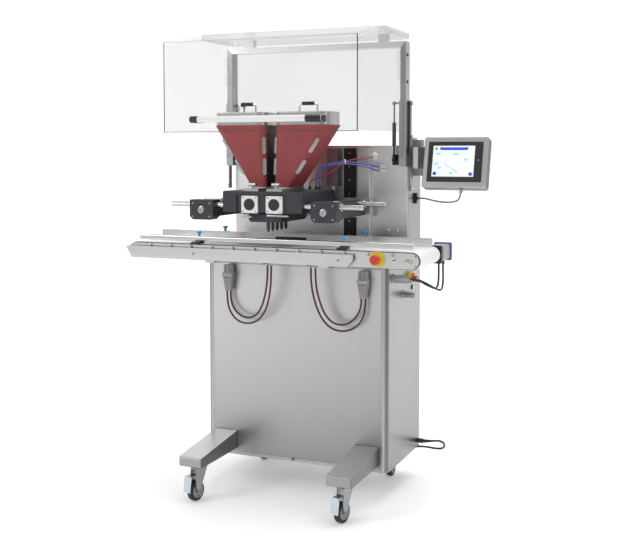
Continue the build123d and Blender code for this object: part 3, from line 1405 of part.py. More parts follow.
samples = [wound @ (i / 400) for i in range(401)]
near = [(a - b).length for i, a in enumerate(samples) for b in samples[i + 6:]]
print("coil length", round(coil_length), "least gap", round(min(near) - 2 * mains_radius, 2))

# Mains plug at the coil's end
plug_body_radius = coil_level + coil_pitch - floor_gap
plug_start = side_point + Vector(0, coil_tail, 0)
plug_body = 46
plug_taper = 22
pin_length = 20
with BuildPart() as mains_plug:
    with BuildSketch(Plane(origin=plug_start, x_dir=(0, 1, 0), z_dir=(0, 0, 1))):
        with BuildLine():
            Polyline((0, 0), (0, mains_radius + 2), (plug_taper, plug_body_radius),
                     (plug_taper + plug_body, plug_body_radius), (plug_taper + plug_body, 0), close=True)
        make_face()
    revolve(axis=Axis(plug_start, (0, 1, 0)))
    for x in (-7, 7):
        bar(plug_start + Vector(x, plug_taper + plug_body, 0), (0, 1, 0), 2.4, pin_length)

pieces = {
    "cabinet_shell": cabinet_shell,
    "tower_shell": tower_shell,
    "base_frame": base_frame,
    "front_legs": front_legs,
    "control_box": control_box,
    "left_rear_wheel": left_rear_wheel,
    "right_rear_wheel": right_rear_wheel,
    "left_caster_fork": left_caster_fork,
    "right_caster_fork": right_caster_fork,
    "left_brake_pedal": left_brake_pedal,
    "right_brake_pedal": right_brake_pedal,
    "left_front_wheel": left_front_wheel,
    "right_front_wheel": right_front_wheel,
    "conveyor_frame": conveyor_frame,
    "belt_bed": belt_bed,
    "belt": belt,
    "drive_roller": drive_roller,
    "idle_roller": idle_roller,
    "gearmotor": gearmotor,
    "steel_covers": steel_covers,
    "guide_feet": guide_feet,
    "front_guide": front_guide,
    "back_guide": back_guide,
    "front_left_screw": front_left_screw,
    "front_right_screw": front_right_screw,
    "back_left_screw": back_left_screw,
    "back_right_screw": back_right_screw,
    "switch_bases": switch_bases,
    "stop_button": stop_button,
    "switch_knob": switch_knob,
    "lift_column": lift_column,
    "lift_carriage": lift_carriage,
    "head_arms": head_arms,
    "head_block": head_block,
    "pump_covers": pump_covers,
    "left_drive_gear": left_drive_gear,
    "left_idler_gear": left_idler_gear,
    "right_drive_gear": right_drive_gear,
    "right_idler_gear": right_idler_gear,
    "nozzle_manifold": nozzle_manifold,
    "cross_rods": cross_rods,
    "hoppers": hoppers,
    "hopper_trim": hopper_trim,
    "left_lid": left_lid,
    "right_lid": right_lid,
    "guard_frame": guard_frame,
    "guard_screen": guard_screen,
    "guard_roof": guard_roof,
    "guard_handle": guard_handle,
    "gas_springs": gas_springs,
    "tower_brackets": tower_brackets,
    "panel_housing": hmi_housing,
    "panel_front": hmi_panel,
    "cable_fittings": cable_fittings,
    "machine_cables": machine_cables,
    "panel_cable": panel_cable,
    "head_lines": head_lines,
    "mains_cord": mains_cord,
    "mains_coil": mains_coil,
    "mains_plug": mains_plug,
}
for name, piece in pieces.items():
    piece.part.label = name
    export_step(piece.part, f"parts/{name}.step")
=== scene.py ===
import math

import bmesh
import bpy
from mathutils import Matrix, Vector


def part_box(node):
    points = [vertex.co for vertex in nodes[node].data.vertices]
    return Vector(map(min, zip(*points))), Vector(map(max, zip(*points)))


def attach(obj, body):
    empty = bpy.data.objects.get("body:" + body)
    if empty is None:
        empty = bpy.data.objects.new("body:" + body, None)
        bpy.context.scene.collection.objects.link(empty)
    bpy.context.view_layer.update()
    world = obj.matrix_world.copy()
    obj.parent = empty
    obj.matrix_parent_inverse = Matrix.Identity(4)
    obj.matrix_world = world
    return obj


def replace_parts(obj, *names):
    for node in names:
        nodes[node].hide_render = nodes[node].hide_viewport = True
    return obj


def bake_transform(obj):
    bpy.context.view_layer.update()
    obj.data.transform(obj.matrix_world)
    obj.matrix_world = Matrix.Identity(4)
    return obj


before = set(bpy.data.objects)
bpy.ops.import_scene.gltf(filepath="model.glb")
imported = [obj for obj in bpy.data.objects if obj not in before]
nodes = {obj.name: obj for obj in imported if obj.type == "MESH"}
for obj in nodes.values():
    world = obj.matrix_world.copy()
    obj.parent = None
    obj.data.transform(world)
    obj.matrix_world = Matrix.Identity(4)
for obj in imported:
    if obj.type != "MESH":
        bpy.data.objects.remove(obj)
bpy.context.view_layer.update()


def new_object(name, data):
    """Adds an object with this data to the scene."""
    made = bpy.data.objects.new(name, data)
    bpy.context.scene.collection.objects.link(made)
    return made


# Camera at the viewing angle of the photograph
lens = bpy.data.cameras.new("camera")
lens.sensor_width = 36
lens.lens = 59.02
lens.shift_y = -0.12
camera = new_object("camera", lens)
camera.location = (1.6381, -3.7653, 1.3943)
camera.rotation_euler = (math.radians(90 - 2.744), 0, math.radians(23.062))
bpy.context.scene.camera = camera


class Shade:
    """An output socket of a material's nodes; arithmetic on it adds Math nodes."""

    def __init__(self, tree, socket=None):
        self.tree = tree
        self.socket = socket

    def node(self, kind, settings=None, inputs=None, out=0):
        """Adds a node with its settings and inputs, and wraps one of its outputs."""
        made = self.tree.nodes.new("ShaderNode" + kind)
        for key, value in (settings or {}).items():
            setattr(made, key, value)
        for key, value in (inputs or {}).items():
            if isinstance(value, Shade):
                self.tree.links.new(value.socket, made.inputs[key])
            elif isinstance(value, tuple) and len(value) == 3 and made.inputs[key].type == "RGBA":
                made.inputs[key].default_value = (*value, 1)
            else:
                made.inputs[key].default_value = value
        return Shade(self.tree, made.outputs[out] if made.outputs else None)

    def maths(self, operation, first, second=0.0):
        return self.node("Math", {"operation": operation}, {0: first, 1: second})

    def __add__(self, other):
        return self.maths("ADD", self, other)

    __radd__ = __add__

    def __sub__(self, other):
        return self.maths("SUBTRACT", self, other)

    def __rsub__(self, other):
        return self.maths("SUBTRACT", other, self)

    def __mul__(self, other):
        return self.maths("MULTIPLY", self, other)

    __rmul__ = __mul__

    def __pow__(self, other):
        return self.maths("POWER", self, other)

    def __rpow__(self, other):
        return self.maths("POWER", other, self)

    def tint(self, low, high):
        """A colour between two others by this factor."""
        return self.node("Mix", {"data_type": "RGBA"}, {0: self, 6: low, 7: high}, out=2)


class Finish:
    """A material with one Principled shader, and the coordinates of the object's own frame."""

    def __init__(self, name):
        self.material = bpy.data.materials.new(name)
        self.material.use_nodes = True
        tree = self.material.node_tree
        tree.nodes.clear()
        self.start = Shade(tree)
        self.place = self.start.node("TexCoord", out=3)

    def spread(self, x, y, z):
        """The place, stretched along each axis, for grain with a direction."""
        return self.start.node("VectorMath", {"operation": "MULTIPLY"}, {0: self.place, 1: (x, y, z)})

    def noise(self, vector, scale=1.0, detail=2.0):
        return self.start.node("TexNoise", None, {"Vector": vector, "Scale": scale, "Detail": detail})

    def axis(self, index):
        return self.start.node("SeparateXYZ", None, {0: self.place}, out=index)

    def bump(self, height, strength, distance):
        return self.start.node("Bump", None, {"Height": height, "Strength": strength, "Distance": distance})

    def surface(self, **sockets):
        named = {key.replace("_", " "): value for key, value in sockets.items()}
        shader = self.start.node("BsdfPrincipled", None, named)
        self.start.node("OutputMaterial", None, {"Surface": shader})
        return self.material


tone_spread = (0.93, 1.05)


def steel(name, tone, rough, grain, depth=0.05, foot=None):
    """Brushed steel with its grain along one axis; foot is a painted shade, the tone the colour darkens to
    towards the bottom of the cabinet and to its right.
    """
    finish = Finish(name)
    fine = finish.noise(finish.spread(*grain), detail=3)
    broad = finish.noise(finish.spread(*(g / 14 for g in grain)), detail=2)
    smudge = finish.noise(finish.place, scale=7, detail=4)
    mark = fine * 0.6 + broad * 0.4
    dark, light = (tuple(min(1, t * share) for t in tone) for share in tone_spread)
    # Painted shade: the colour darkens towards the foot tone low on the cabinet and to its right
    if foot:
        rise = finish.axis(2) * 1.013 - finish.axis(0) * 0.27 - 0.042
        dark, light = (rise.tint(tuple(t * share for t in foot), top)
                       for share, top in zip(tone_spread, (dark, light)))
    colour = (mark * 0.7 + smudge * 0.3).tint(dark, light)
    return finish.surface(Base_Color=colour, Metallic=1.0,
                          Roughness=mark * 0.16 + smudge * 0.08 + (rough - 0.12),
                          Normal=finish.bump(mark, depth, 0.0004))


def plastic(name, tone, rough, speck=900.0, shift=0.12, coat=0.0):
    """Moulded plastic or paint with a fine texture and slight change of tone."""
    finish = Finish(name)
    texture = finish.noise(finish.place, scale=speck, detail=2)
    cloud = finish.noise(finish.place, scale=9, detail=4)
    colour = cloud.tint(tuple(t * (1 - shift) for t in tone), tuple(min(1, t * (1 + shift)) for t in tone))
    return finish.surface(Base_Color=colour, Roughness=texture * 0.1 + cloud * 0.12 + (rough - 0.11),
                          Coat_Weight=coat, Normal=finish.bump(texture, 0.12, 0.0003))


# Finishes
upright_grain = (420, 420, 9)
level_grain = (9, 420, 420)
leg_grain = (420, 9, 420)
upright_steel = steel("upright_brushed_steel", (0.44, 0.44, 0.435), 0.36, upright_grain)
# Painted shade: the cabinet front's copy of the steel darkens towards its foot
front_shaded_steel = steel("front_steel_painted_shade", (0.65, 0.65, 0.66), 0.36, upright_grain,
                    foot=(0.29, 0.288, 0.282))
# Painted light and shade: a light copy of the steel for the tower and a dark copy for its sideways faces
tower_lit_steel = steel("tower_steel_painted_light", (0.78, 0.775, 0.765), 0.34, upright_grain)
tower_side_shade = steel("tower_side_painted_shade", (0.38, 0.382, 0.39), 0.36, upright_grain)
leg_steel = steel("leg_brushed_steel", (0.66, 0.66, 0.65), 0.34, leg_grain)
# Painted shade: darker copies of the leg steel for the legs' sideways faces and forward ends
leg_side_shade = steel("leg_side_painted_shade", (0.2, 0.2, 0.197), 0.38, leg_grain)
leg_end_shade = steel("leg_end_painted_shade", (0.36, 0.36, 0.355), 0.38, level_grain)
guide_steel = steel("polished_guide_steel", (0.72, 0.72, 0.715), 0.22, level_grain)
# Painted light and shade: a lighter copy of the steel for the cabinet's sideways faces, darkening towards its
# foot
side_shaded_steel = steel("side_steel_painted_shade", (0.53, 0.532, 0.55), 0.36, upright_grain,
                   foot=(0.27, 0.27, 0.268))
shaded_steel = steel("shaded_edge_steel", (0.15, 0.15, 0.148), 0.4, upright_grain)
level_steel = steel("level_brushed_steel", (0.66, 0.66, 0.655), 0.33, level_grain)
bright_steel = steel("bright_turned_steel", (0.55, 0.55, 0.54), 0.24, (260, 260, 260))
connector_steel = steel("connector_steel", (0.34, 0.335, 0.325), 0.34, (180, 180, 180))
# Painted shade: a dark copy of the stainless for the cabinet's rounded front corners
seam_shade_steel = steel("corner_seam_painted_shade", (0.2, 0.198, 0.192), 0.34, upright_grain)
panel_steel = steel("panel_brushed_steel", (0.55, 0.55, 0.545), 0.36, upright_grain)
dull_steel = steel("dull_steel", (0.45, 0.45, 0.45), 0.42, (180, 180, 180))
chrome = steel("polished_chrome", (0.8, 0.81, 0.82), 0.16, (120, 120, 120), 0.02)
zinc = steel("zinc_plated_steel", (0.36, 0.365, 0.375), 0.34, (150, 150, 150))
link_steel = steel("link_steel", (0.22, 0.22, 0.225), 0.38, (300, 300, 8))
pale_alloy = steel("pale_alloy", (0.78, 0.785, 0.79), 0.38, (8, 300, 300))
alloy = steel("satin_alloy", (0.4, 0.41, 0.42), 0.36, (300, 300, 8))
anodised = plastic("dark_anodised_block", (0.024, 0.027, 0.035), 0.46, 1400)
black = plastic("black_moulding", (0.012, 0.012, 0.013), 0.48)
black_paint = plastic("black_paint", (0.01, 0.01, 0.011), 0.34, 700)
white = plastic("white_plastic", (0.78, 0.78, 0.77), 0.38, 700, 0.04)
yellow = plastic("yellow_plate", (0.72, 0.55, 0.02), 0.36, 700, 0.06)
red = plastic("red_knob", (0.56, 0.03, 0.026), 0.3, 700, 0.08, 0.3)
blue = plastic("blue_thumb_screw", (0.055, 0.38, 0.7), 0.36, 700, 0.08)
cap_blue = plastic("blue_motor_cap", (0.07, 0.13, 0.34), 0.42)
motor_grey = plastic("grey_motor", (0.36, 0.365, 0.37), 0.42)
plug_grey = plastic("grey_plug", (0.24, 0.235, 0.225), 0.5, 500)
latch_grey = plastic("pale_latch", (0.34, 0.335, 0.32), 0.44, 500)
hub_grey = plastic("grey_wheel_hub", (0.3, 0.305, 0.31), 0.44)
tyre = plastic("dark_tyre", (0.02, 0.02, 0.021), 0.62, 420)
pedal = plastic("pale_blue_pedal", (0.6, 0.68, 0.74), 0.36)
frame_paint = plastic("grey_frame_paint", (0.2, 0.205, 0.215), 0.5)
bezel = plastic("dark_grey_bezel", (0.018, 0.018, 0.018), 0.5, 1200)
# Painted shade and painted highlight: a dark tone for the clear guard's edges and a pale tone for its fold
sheet_edge_shade = plastic("sheet_edge_painted_shade", (0.07, 0.07, 0.075), 0.22, 300, 0.1)
sheet_fold_highlight = plastic("sheet_fold_painted_highlight", (0.46, 0.46, 0.48), 0.24, 300, 0.1)


def jacket_finish():
    """Red silicone heating jacket: matt, with a faint woven texture and darker scuffs."""
    finish = Finish("red_heating_jacket")
    threads = 2600
    warp = finish.start.maths("SINE", finish.axis(0) * threads)
    weft = finish.start.maths("SINE", finish.axis(2) * threads)
    weave = warp * weft * 0.5 + 0.5
    cloud = finish.noise(finish.place, scale=11, detail=5)
    scuff = finish.noise(finish.spread(30, 30, 90), detail=4) ** 3
    tone = cloud.tint((0.255, 0.037, 0.038), (0.335, 0.055, 0.056))
    worn = (scuff * 0.6).tint(tone, (0.15, 0.03, 0.032))
    return finish.surface(Base_Color=worn, Roughness=cloud * 0.14 + weave * 0.08 + 0.46,
                          Normal=finish.bump(weave + cloud * 0.6, 0.25, 0.0005))


def belt_finish():
    """White conveyor belt with a fine cross texture."""
    finish = Finish("white_belt")
    rib = finish.start.maths("SINE", finish.axis(1) * 1500) * 0.5 + 0.5
    cloud = finish.noise(finish.spread(4, 16, 16), detail=4)
    tone = cloud.tint((0.82, 0.82, 0.81), (0.9, 0.9, 0.89))
    return finish.surface(Base_Color=tone, Roughness=cloud * 0.15 + 0.42,
                          Normal=finish.bump(rib + cloud, 0.15, 0.0004))


def clear_finish(name, body, rim, tone):
    """Clear sheet: nearly see-through face on, glossier and denser at a slant."""
    finish = Finish(name)
    slant = finish.start.node("LayerWeight", None, {"Blend": 0.3}, out=1)
    haze = finish.noise(finish.place, scale=3, detail=3)
    return finish.surface(Base_Color=tone, Roughness=haze * 0.05 + 0.03, IOR=1.5,
                          Alpha=slant ** 2 * rim + haze * 0.02 + body)


jacket = jacket_finish()
belt_white = belt_finish()
clear = clear_finish("clear_polycarbonate", 0.045, 0.16, (0.05, 0.055, 0.06))
clear_window = clear_finish("clear_rear_window", 0.11, 0.16, (0.08, 0.085, 0.09))
clear_roof = clear_finish("clear_roof_sheet", 0.22, 0.24, (0.45, 0.46, 0.48))


def dress(name, finish, *others):
    """Puts a finish on a CAD node, and others on the faces that their tests pick by place and direction."""
    mesh = nodes[name].data
    mesh.materials.clear()
    for each in (finish, *(other for other, _ in others)):
        mesh.materials.append(each)
    for face in mesh.polygons:
        face.material_index = 0
        for index, (_, test) in enumerate(others, 1):
            if test(face.center, face.normal):
                face.material_index = index


# CAD nodes of one finish
for finish, names in (
        (alloy, "tower_brackets"),
        (level_steel, "lift_carriage conveyor_frame"),
        (guide_steel, "front_guide back_guide"),
        (bright_steel, "belt_bed cross_rods drive_roller idle_roller hopper_trim"),
        (dull_steel, "left_drive_gear left_idler_gear right_drive_gear right_idler_gear"),
        (zinc, "left_caster_fork right_caster_fork"),
        (blue, "front_left_screw front_right_screw back_left_screw back_right_screw"),
        (clear_roof, "guard_roof"),
        (anodised, "nozzle_manifold"),
        (black_paint, "gas_springs"),
        (black, "guide_feet mains_plug"),
        (red, "stop_button switch_knob"),
        (yellow, "switch_bases"),
        (frame_paint, "control_box"),
        (bezel, "panel_front"),
        (white, "pump_covers guard_handle")):
    for name in names.split():
        dress(name, finish)


# CAD nodes of more than one finish: tests for faces by their place and direction
mid_x = -0.0225
hopper_line = -0.0875


def sideways(at, way):
    """Picks the faces that look left or right."""
    return abs(way.x) > 0.8


def off_middle(at):
    """How far a face is from the machine's middle plane."""
    return abs(at.x - mid_x)


# Cabinet, tower, legs and belt
apron_back = -0.15
rear_cover_front = 0.3
cabinet_foot = 0.1205
# Painted light and shade: the cabinet's sideways faces and front panel take the lit and shaded copies of the
# steel
dress("cabinet_shell", upright_steel, (side_shaded_steel, sideways))
# Painted light and shade: the tower takes the light copy of its steel, and its sideways faces take the dark
# copy
dress("tower_shell", tower_lit_steel, (tower_side_shade, sideways))
dress("steel_covers", front_shaded_steel, (level_steel, lambda at, way: at.y < apron_back),
      (upright_steel, lambda at, way: at.y > rear_cover_front))
dress("base_frame", frame_paint, (dull_steel, lambda at, way: at.z < cabinet_foot))
# Painted shade: the legs' sideways faces and forward ends take darker copies of their steel
dress("front_legs", leg_steel, (leg_side_shade, lambda at, way: abs(way.x) > 0.7),
      (leg_end_shade, lambda at, way: way.y < -0.7))
dress("belt", belt_white, (black, lambda at, way: abs(way.y) > 0.9))
motor_flange_back = 0.1555
motor_cap_front = 0.2845
dress("gearmotor", motor_grey, (black_paint, lambda at, way: at.y < motor_flange_back),
      (cap_blue, lambda at, way: at.y > motor_cap_front))

# Guard and operator panel
bracket_back = 0.1805
crossbar_level = 1.79
crossbar_reach = 0.37
link_inner = 0.4115
link_outer = 0.4172
window_front = 0.15
housing_left = 0.45
dress("guard_frame", alloy, (clear, lambda at, way: at.y < bracket_back),
      (pale_alloy, lambda at, way: at.z > crossbar_level and off_middle(at) < crossbar_reach),
      (link_steel, lambda at, way: link_inner < off_middle(at) < link_outer),
      (bright_steel, lambda at, way: off_middle(at) > link_outer))
dress("guard_screen", clear, (clear_window, lambda at, way: at.y > window_front and abs(way.y) > 0.7))
dress("panel_housing", panel_steel,
      (shaded_steel, lambda at, way: at.x > housing_left and (way.x > 0.8 or way.z < -0.8)))

# Head, hoppers and lift: dark discs of the pumps, bosses of the arms, black rail and alloy actuator
disc_back = -0.1875
boss_back = -0.1953
hopper_gap = 0.0185
rail_left, rail_right = 0.097, 0.15
actuator_right = 0.09
dress("head_block", anodised, (black, lambda at, way: at.y < disc_back))
dress("head_arms", anodised, (bright_steel, lambda at, way: at.y < boss_back))
# Painted shade: the hoppers' inner faces across the narrow gap between them are black
dress("hoppers", jacket, (black, lambda at, way: abs(at.x - hopper_line) < hopper_gap and sideways(at, way)))
dress("lift_column", level_steel, (black_paint, lambda at, way: rail_left < at.x < rail_right),
      (alloy, lambda at, way: at.x < actuator_right))

# Wheels, brake pedals and lids of both sides
axle_level = 0.039
rear_axle_y = 0.328
hub_radius = 0.0275
pedal_pin_level = 0.09
lid_top = 1.5475
grip_level = 1.5745
grip_half = 0.0263


def middle_of(name):
    """Middle of a CAD node's box."""
    low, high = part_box(name)
    return (low + high) / 2


def hub(axle_y):
    """A test for the faces of a wheel's hub."""
    return lambda at, way: math.hypot(at.y - axle_y, at.z - axle_level) < hub_radius


for side in ("left", "right"):
    dress(side + "_front_wheel", tyre, (hub_grey, hub(middle_of(side + "_front_wheel").y)))
    dress(side + "_rear_wheel", tyre, (hub_grey, hub(rear_axle_y)))
    dress(side + "_brake_pedal", pedal, (zinc, lambda at, way: at.z > pedal_pin_level))
    grip_x = middle_of(side + "_lid").x
    dress(side + "_lid", level_steel, (chrome, lambda at, way: at.z > lid_top),
          (black, lambda at, way: at.z > grip_level and abs(at.x - grip_x) < grip_half))


def cable_finish(name, tone, rough, mark):
    """Cable sheath: slightly wavy, with a faint change of tone along it."""
    finish = Finish(name)
    cloud = finish.noise(finish.place, scale=26, detail=3)
    grain = finish.noise(finish.place, scale=700, detail=2)
    return finish.surface(Base_Color=cloud.tint(tone, mark),
                          Roughness=grain * 0.12 + cloud * 0.1 + (rough - 0.1),
                          Normal=finish.bump(grain + cloud, 0.1, 0.0003))


red_sheath = cable_finish("dark_red_heater_lead", (0.06, 0.018, 0.017), 0.52, (0.095, 0.026, 0.024))
signal_red = cable_finish("red_signal_cable", (0.42, 0.035, 0.03), 0.45, (0.52, 0.05, 0.045))
black_sheath = cable_finish("black_sheath", (0.012, 0.012, 0.013), 0.5, (0.02, 0.02, 0.021))
grey_sheath = cable_finish("grey_sheath", (0.22, 0.22, 0.222), 0.44, (0.28, 0.28, 0.282))
blue_hose = cable_finish("blue_air_hose", (0.08, 0.105, 0.42), 0.34, (0.1, 0.13, 0.5))


def line(name, points, diameter=0.0, finish=None):
    """A curve of one open spline that a cord's route points control."""
    curve = bpy.data.curves.new(name, "CURVE")
    curve.dimensions = "3D"
    curve.bevel_depth = diameter / 2
    curve.bevel_resolution = 4
    curve.use_fill_caps = True
    spline = curve.splines.new("NURBS")
    spline.points.add(len(points) - 1)
    for point, place in zip(spline.points, points):
        point.co = (*place, 1)
    spline.order_u = 3
    spline.use_endpoint_u = True
    spline.resolution_u = 8
    if finish:
        curve.materials.append(finish)
    return new_object(name, curve)


def spline_points(points):
    """Points along the spline that a cord's route points control."""
    bare = line("bare_line", points)
    path = [tuple(vertex.co) for vertex in bpy.data.meshes.new_from_object(bare).vertices]
    bpy.data.objects.remove(bare)
    return path


def bent_cable(name, points, diameter, finish):
    """A cable as a mesh tube along the same kind of spline."""
    path = spline_points(points)
    thick = line(name + "_thick", points, diameter, finish)
    tube = bpy.data.meshes.new_from_object(thick)
    bpy.data.objects.remove(thick)
    tube.shade_smooth()
    cable = new_object(name, tube)
    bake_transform(cable)
    return cable, path


def mm(*points):
    """Points in metres from points in millimetres."""
    return [tuple(value / 1000 for value in point) for point in points]


# Heater leads, motor cables, panel cable and mains cord on their routes
left_outer_lead = mm(
    (-319.5, -37, 814), (-319.5, -37, 770), (-302.5, -42, 724), (-265.5, -51, 692), (-216.5, -60, 684),
    (-165.5, -70, 698), (-126.5, -80, 738), (-104.5, -89, 790), (-92.5, -96, 842), (-87.5, -100, 892),
    (-87.5, -100, 936))
left_inner_lead = mm(
    (-303.5, -37, 814), (-303.5, -37, 778), (-286.5, -42, 740), (-253.5, -48, 714), (-214.5, -56, 707),
    (-174.5, -65, 720), (-143.5, -75, 756), (-124.5, -84, 802), (-111.5, -92, 848), (-105.5, -96, 894),
    (-105.5, -96, 936))
right_outer_lead = mm(
    (292.5, -37, 814), (292.5, -37, 770), (277.5, -43, 722), (243.5, -51, 690), (197.5, -60, 680),
    (153.5, -70, 694), (120.5, -80, 734), (100.5, -89, 788), (89.5, -96, 842), (85.5, -100, 892),
    (85.5, -100, 936))
right_inner_lead = mm(
    (274.5, -37, 814), (274.5, -37, 778), (256.5, -42, 740), (227.5, -48, 712), (190.5, -56, 704),
    (155.5, -65, 718), (130.5, -75, 754), (115.5, -84, 802), (106.5, -92, 848), (103.5, -96, 894),
    (103.5, -96, 936))
near_motor_cable = mm(
    (505.5, 255, 934), (505.5, 255, 900), (509.5, 241, 868), (514.5, 211, 848), (518.5, 175, 841),
    (518.5, 140, 845), (511.5, 109, 855), (494.5, 89, 868), (474.5, 81, 880), (449.5, 81, 880))
far_motor_cable = mm(
    (523.5, 255, 934), (523.5, 255, 898), (529.5, 237, 862), (536.5, 201, 841), (541.5, 159, 836),
    (540.5, 117, 843), (530.5, 81, 858), (507.5, 57, 876), (479.5, 47, 889), (449.5, 47, 889))
panel_route = mm(
    (620.5, 158, 1229.4), (620.5, 152.3, 1212.2), (609.5, 155, 1196), (581.5, 172, 1189),
    (547.5, 196, 1187), (513.5, 222, 1188), (485.5, 249, 1190), (463.5, 276, 1192), (443.5, 301, 1194),
    (425.5, 322, 1195), (409.5, 332, 1195), (391.5, 332, 1195))
mains_route = mm(
    (409.5, 380, 150), (441.5, 380, 153), (469.5, 389, 156), (487.5, 411, 145), (486.5, 437, 120),
    (466.5, 457, 102), (437.5, 466, 97), (405.5, 467, 99), (373.5, 465, 100), (339.5, 463, 94),
    (305.5, 462, 80), (273.5, 460.5, 57), (241.5, 460, 36), (209.5, 459.5, 18), (177.5, 459, 8),
    (147.5, 459, 4.6))

base_cords = (
    ("left_outer_lead", left_outer_lead, 0.504, red_sheath, "cable_red"),
    ("left_inner_lead", left_inner_lead, 0.436, red_sheath, "cable_red"),
    ("right_outer_lead", right_outer_lead, 0.493, red_sheath, "cable_red"),
    ("right_inner_lead", right_inner_lead, 0.424, red_sheath, "cable_red"),
    ("near_motor_cable", near_motor_cable, 0.286, black_sheath, "cable_black"),
    ("far_motor_cable", far_motor_cable, 0.34, black_sheath, "cable_black"))
for name, route, length, sheath, slot in base_cords:
    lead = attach(line(name, route, 0.008, sheath), "base")
    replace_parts(lead, "machine_cables")

panel_lead, panel_path = bent_cable("panel_lead", panel_route, 0.007, grey_sheath)
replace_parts(panel_lead, "panel_cable")


# Put-away coil of the mains cord: half turns winding in, a climb, and half turns winding out on top
coil_x = 0.1175
coil_start_y = 0.459
low_level = 0.0046
high_level = 0.0142
turn_pitch = 0.0048
climb_radius = 0.04
half_turns = 6
step_angle = math.radians(30)


def coil_points():
    """Control points of the coil, six to each half turn, a little outside the cord's own line."""
    outward = [climb_radius + turn_pitch * (count + 1) for count in range(half_turns)]
    points = []
    y = coil_start_y
    way = 1
    for count, radius in enumerate([*reversed(outward), climb_radius, *outward]):
        middle_y = y + way * radius
        last = count == 2 * half_turns
        for step in range(3 if last else 6):
            angle = -way * math.pi / 2 - (step + 0.5) * step_angle
            rise = min(1, max(0, count - half_turns + (step + 0.5) / 6))
            reach = radius / math.cos(step_angle / 2)
            points.append((coil_x + reach * math.cos(angle), middle_y + reach * math.sin(angle),
                           low_level + (high_level - low_level) * rise))
        y = y + 2 * way * radius
        way = -way
    return points


plug_x = middle_of("mains_plug").x
plug_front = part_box("mains_plug")[0].y
plug_run = 0.05
plug_points = [(plug_x, plug_front - plug_run, high_level), (plug_x, plug_front, high_level)]
mains_points = mains_route + coil_points() + plug_points
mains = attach(line("mains_lead", mains_points, 0.009, black_sheath), "base")
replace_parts(mains, "mains_cord", "mains_coil")


# Directions in the machine's frame; no cord runs along the last one
forward = (0, -1, 0)
backward = (0, 1, 0)
across = (1, 0, 0)
leftward = (-1, 0, 0)
upward = (0, 0, 1)
downward = (0, 0, -1)
askew = (0.31, 0.17, 0.93)


def circle(middle, axis, side, radius, steps):
    """Points round an axis, from one side on."""
    other = axis.cross(side)
    angles = [math.tau * step / steps for step in range(steps)]
    return [middle + (side * math.cos(a) + other * math.sin(a)) * radius for a in angles]


class Shape:
    """A mesh under construction, in metres, in the machine's own frame."""

    def __init__(self):
        self.mesh = bmesh.new()

    def rings(self, rows):
        """Skins rows of points; a row of one point closes the end."""
        made = [[self.mesh.verts.new(point) for point in row] for row in rows]
        for low, high in zip(made, made[1:]):
            count = max(len(low), len(high))
            for step in range(count):
                corners = [low[step % len(low)], low[(step + 1) % len(low)],
                           high[(step + 1) % len(high)], high[step % len(high)]]
                self.mesh.faces.new(list(dict.fromkeys(corners)))
        for row in (made[0], made[-1]):
            if len(row) > 2:
                self.mesh.faces.new(row)
        return self

    def turn(self, at, along, profile, steps=20):
        """Turns (radius, height) pairs about an axis."""
        axis = Vector(along).normalized()
        side = axis.orthogonal().normalized()
        rows = []
        for radius, height in profile:
            middle = Vector(at) + axis * height
            rows.append(circle(middle, axis, side, radius, steps) if radius else [middle])
        return self.rings(rows)

    def slab(self, at, right, along, outline, height, round_edge=0.0):
        """Raises an outline, in metres to the right and up, along a direction, with its top edge rounded."""
        axis = Vector(along).normalized()
        right = (Vector(right) - axis * Vector(right).dot(axis)).normalized()
        up = axis.cross(right)
        count = len(outline)
        middle = sum((Vector(point) for point in outline), Vector((0, 0))) / count
        rows = []
        for shrink, lift in ((0, 0), (0, height - round_edge), (round_edge * 0.3, height - round_edge * 0.3),
                             (round_edge, height)):
            row = []
            for x, y in outline:
                inward = middle - Vector((x, y))
                x, y = Vector((x, y)) + inward.normalized() * shrink
                row.append(Vector(at) + right * x + up * y + axis * lift)
            rows.append(row)
        return self.rings(rows if round_edge else rows[:2])

    def front(self, at, outline, height, round_edge=0.0):
        """Raises an outline on a face that looks forward."""
        return self.slab(at, across, forward, outline, height, round_edge)

    def follow(self, path, profile, steps=16):
        """Skins a round sleeve along a path; the profile gives (distance, radius) pairs."""
        rows = []
        for distance, radius in profile:
            left = distance
            for start, end in zip(path, path[1:]):
                run = Vector(end) - Vector(start)
                if left <= run.length:
                    break
                left -= run.length
            axis = run.normalized()
            side = axis.cross(Vector(askew)).normalized()
            rows.append(circle(Vector(start) + axis * left, axis, side, radius, steps))
        return self.rings(rows)

    def piece(self, name, body, finish, slot):
        """Finishes the mesh as a piece that rides a body."""
        bmesh.ops.recalc_face_normals(self.mesh, faces=self.mesh.faces)
        mesh = bpy.data.meshes.new(name)
        self.mesh.to_mesh(mesh)
        self.mesh.free()
        mesh.materials.append(finish)
        mesh.shade_smooth()
        mesh.set_sharp_from_angle(angle=math.radians(35))
        made = new_object(name, mesh)
        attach(made, body)
        return made


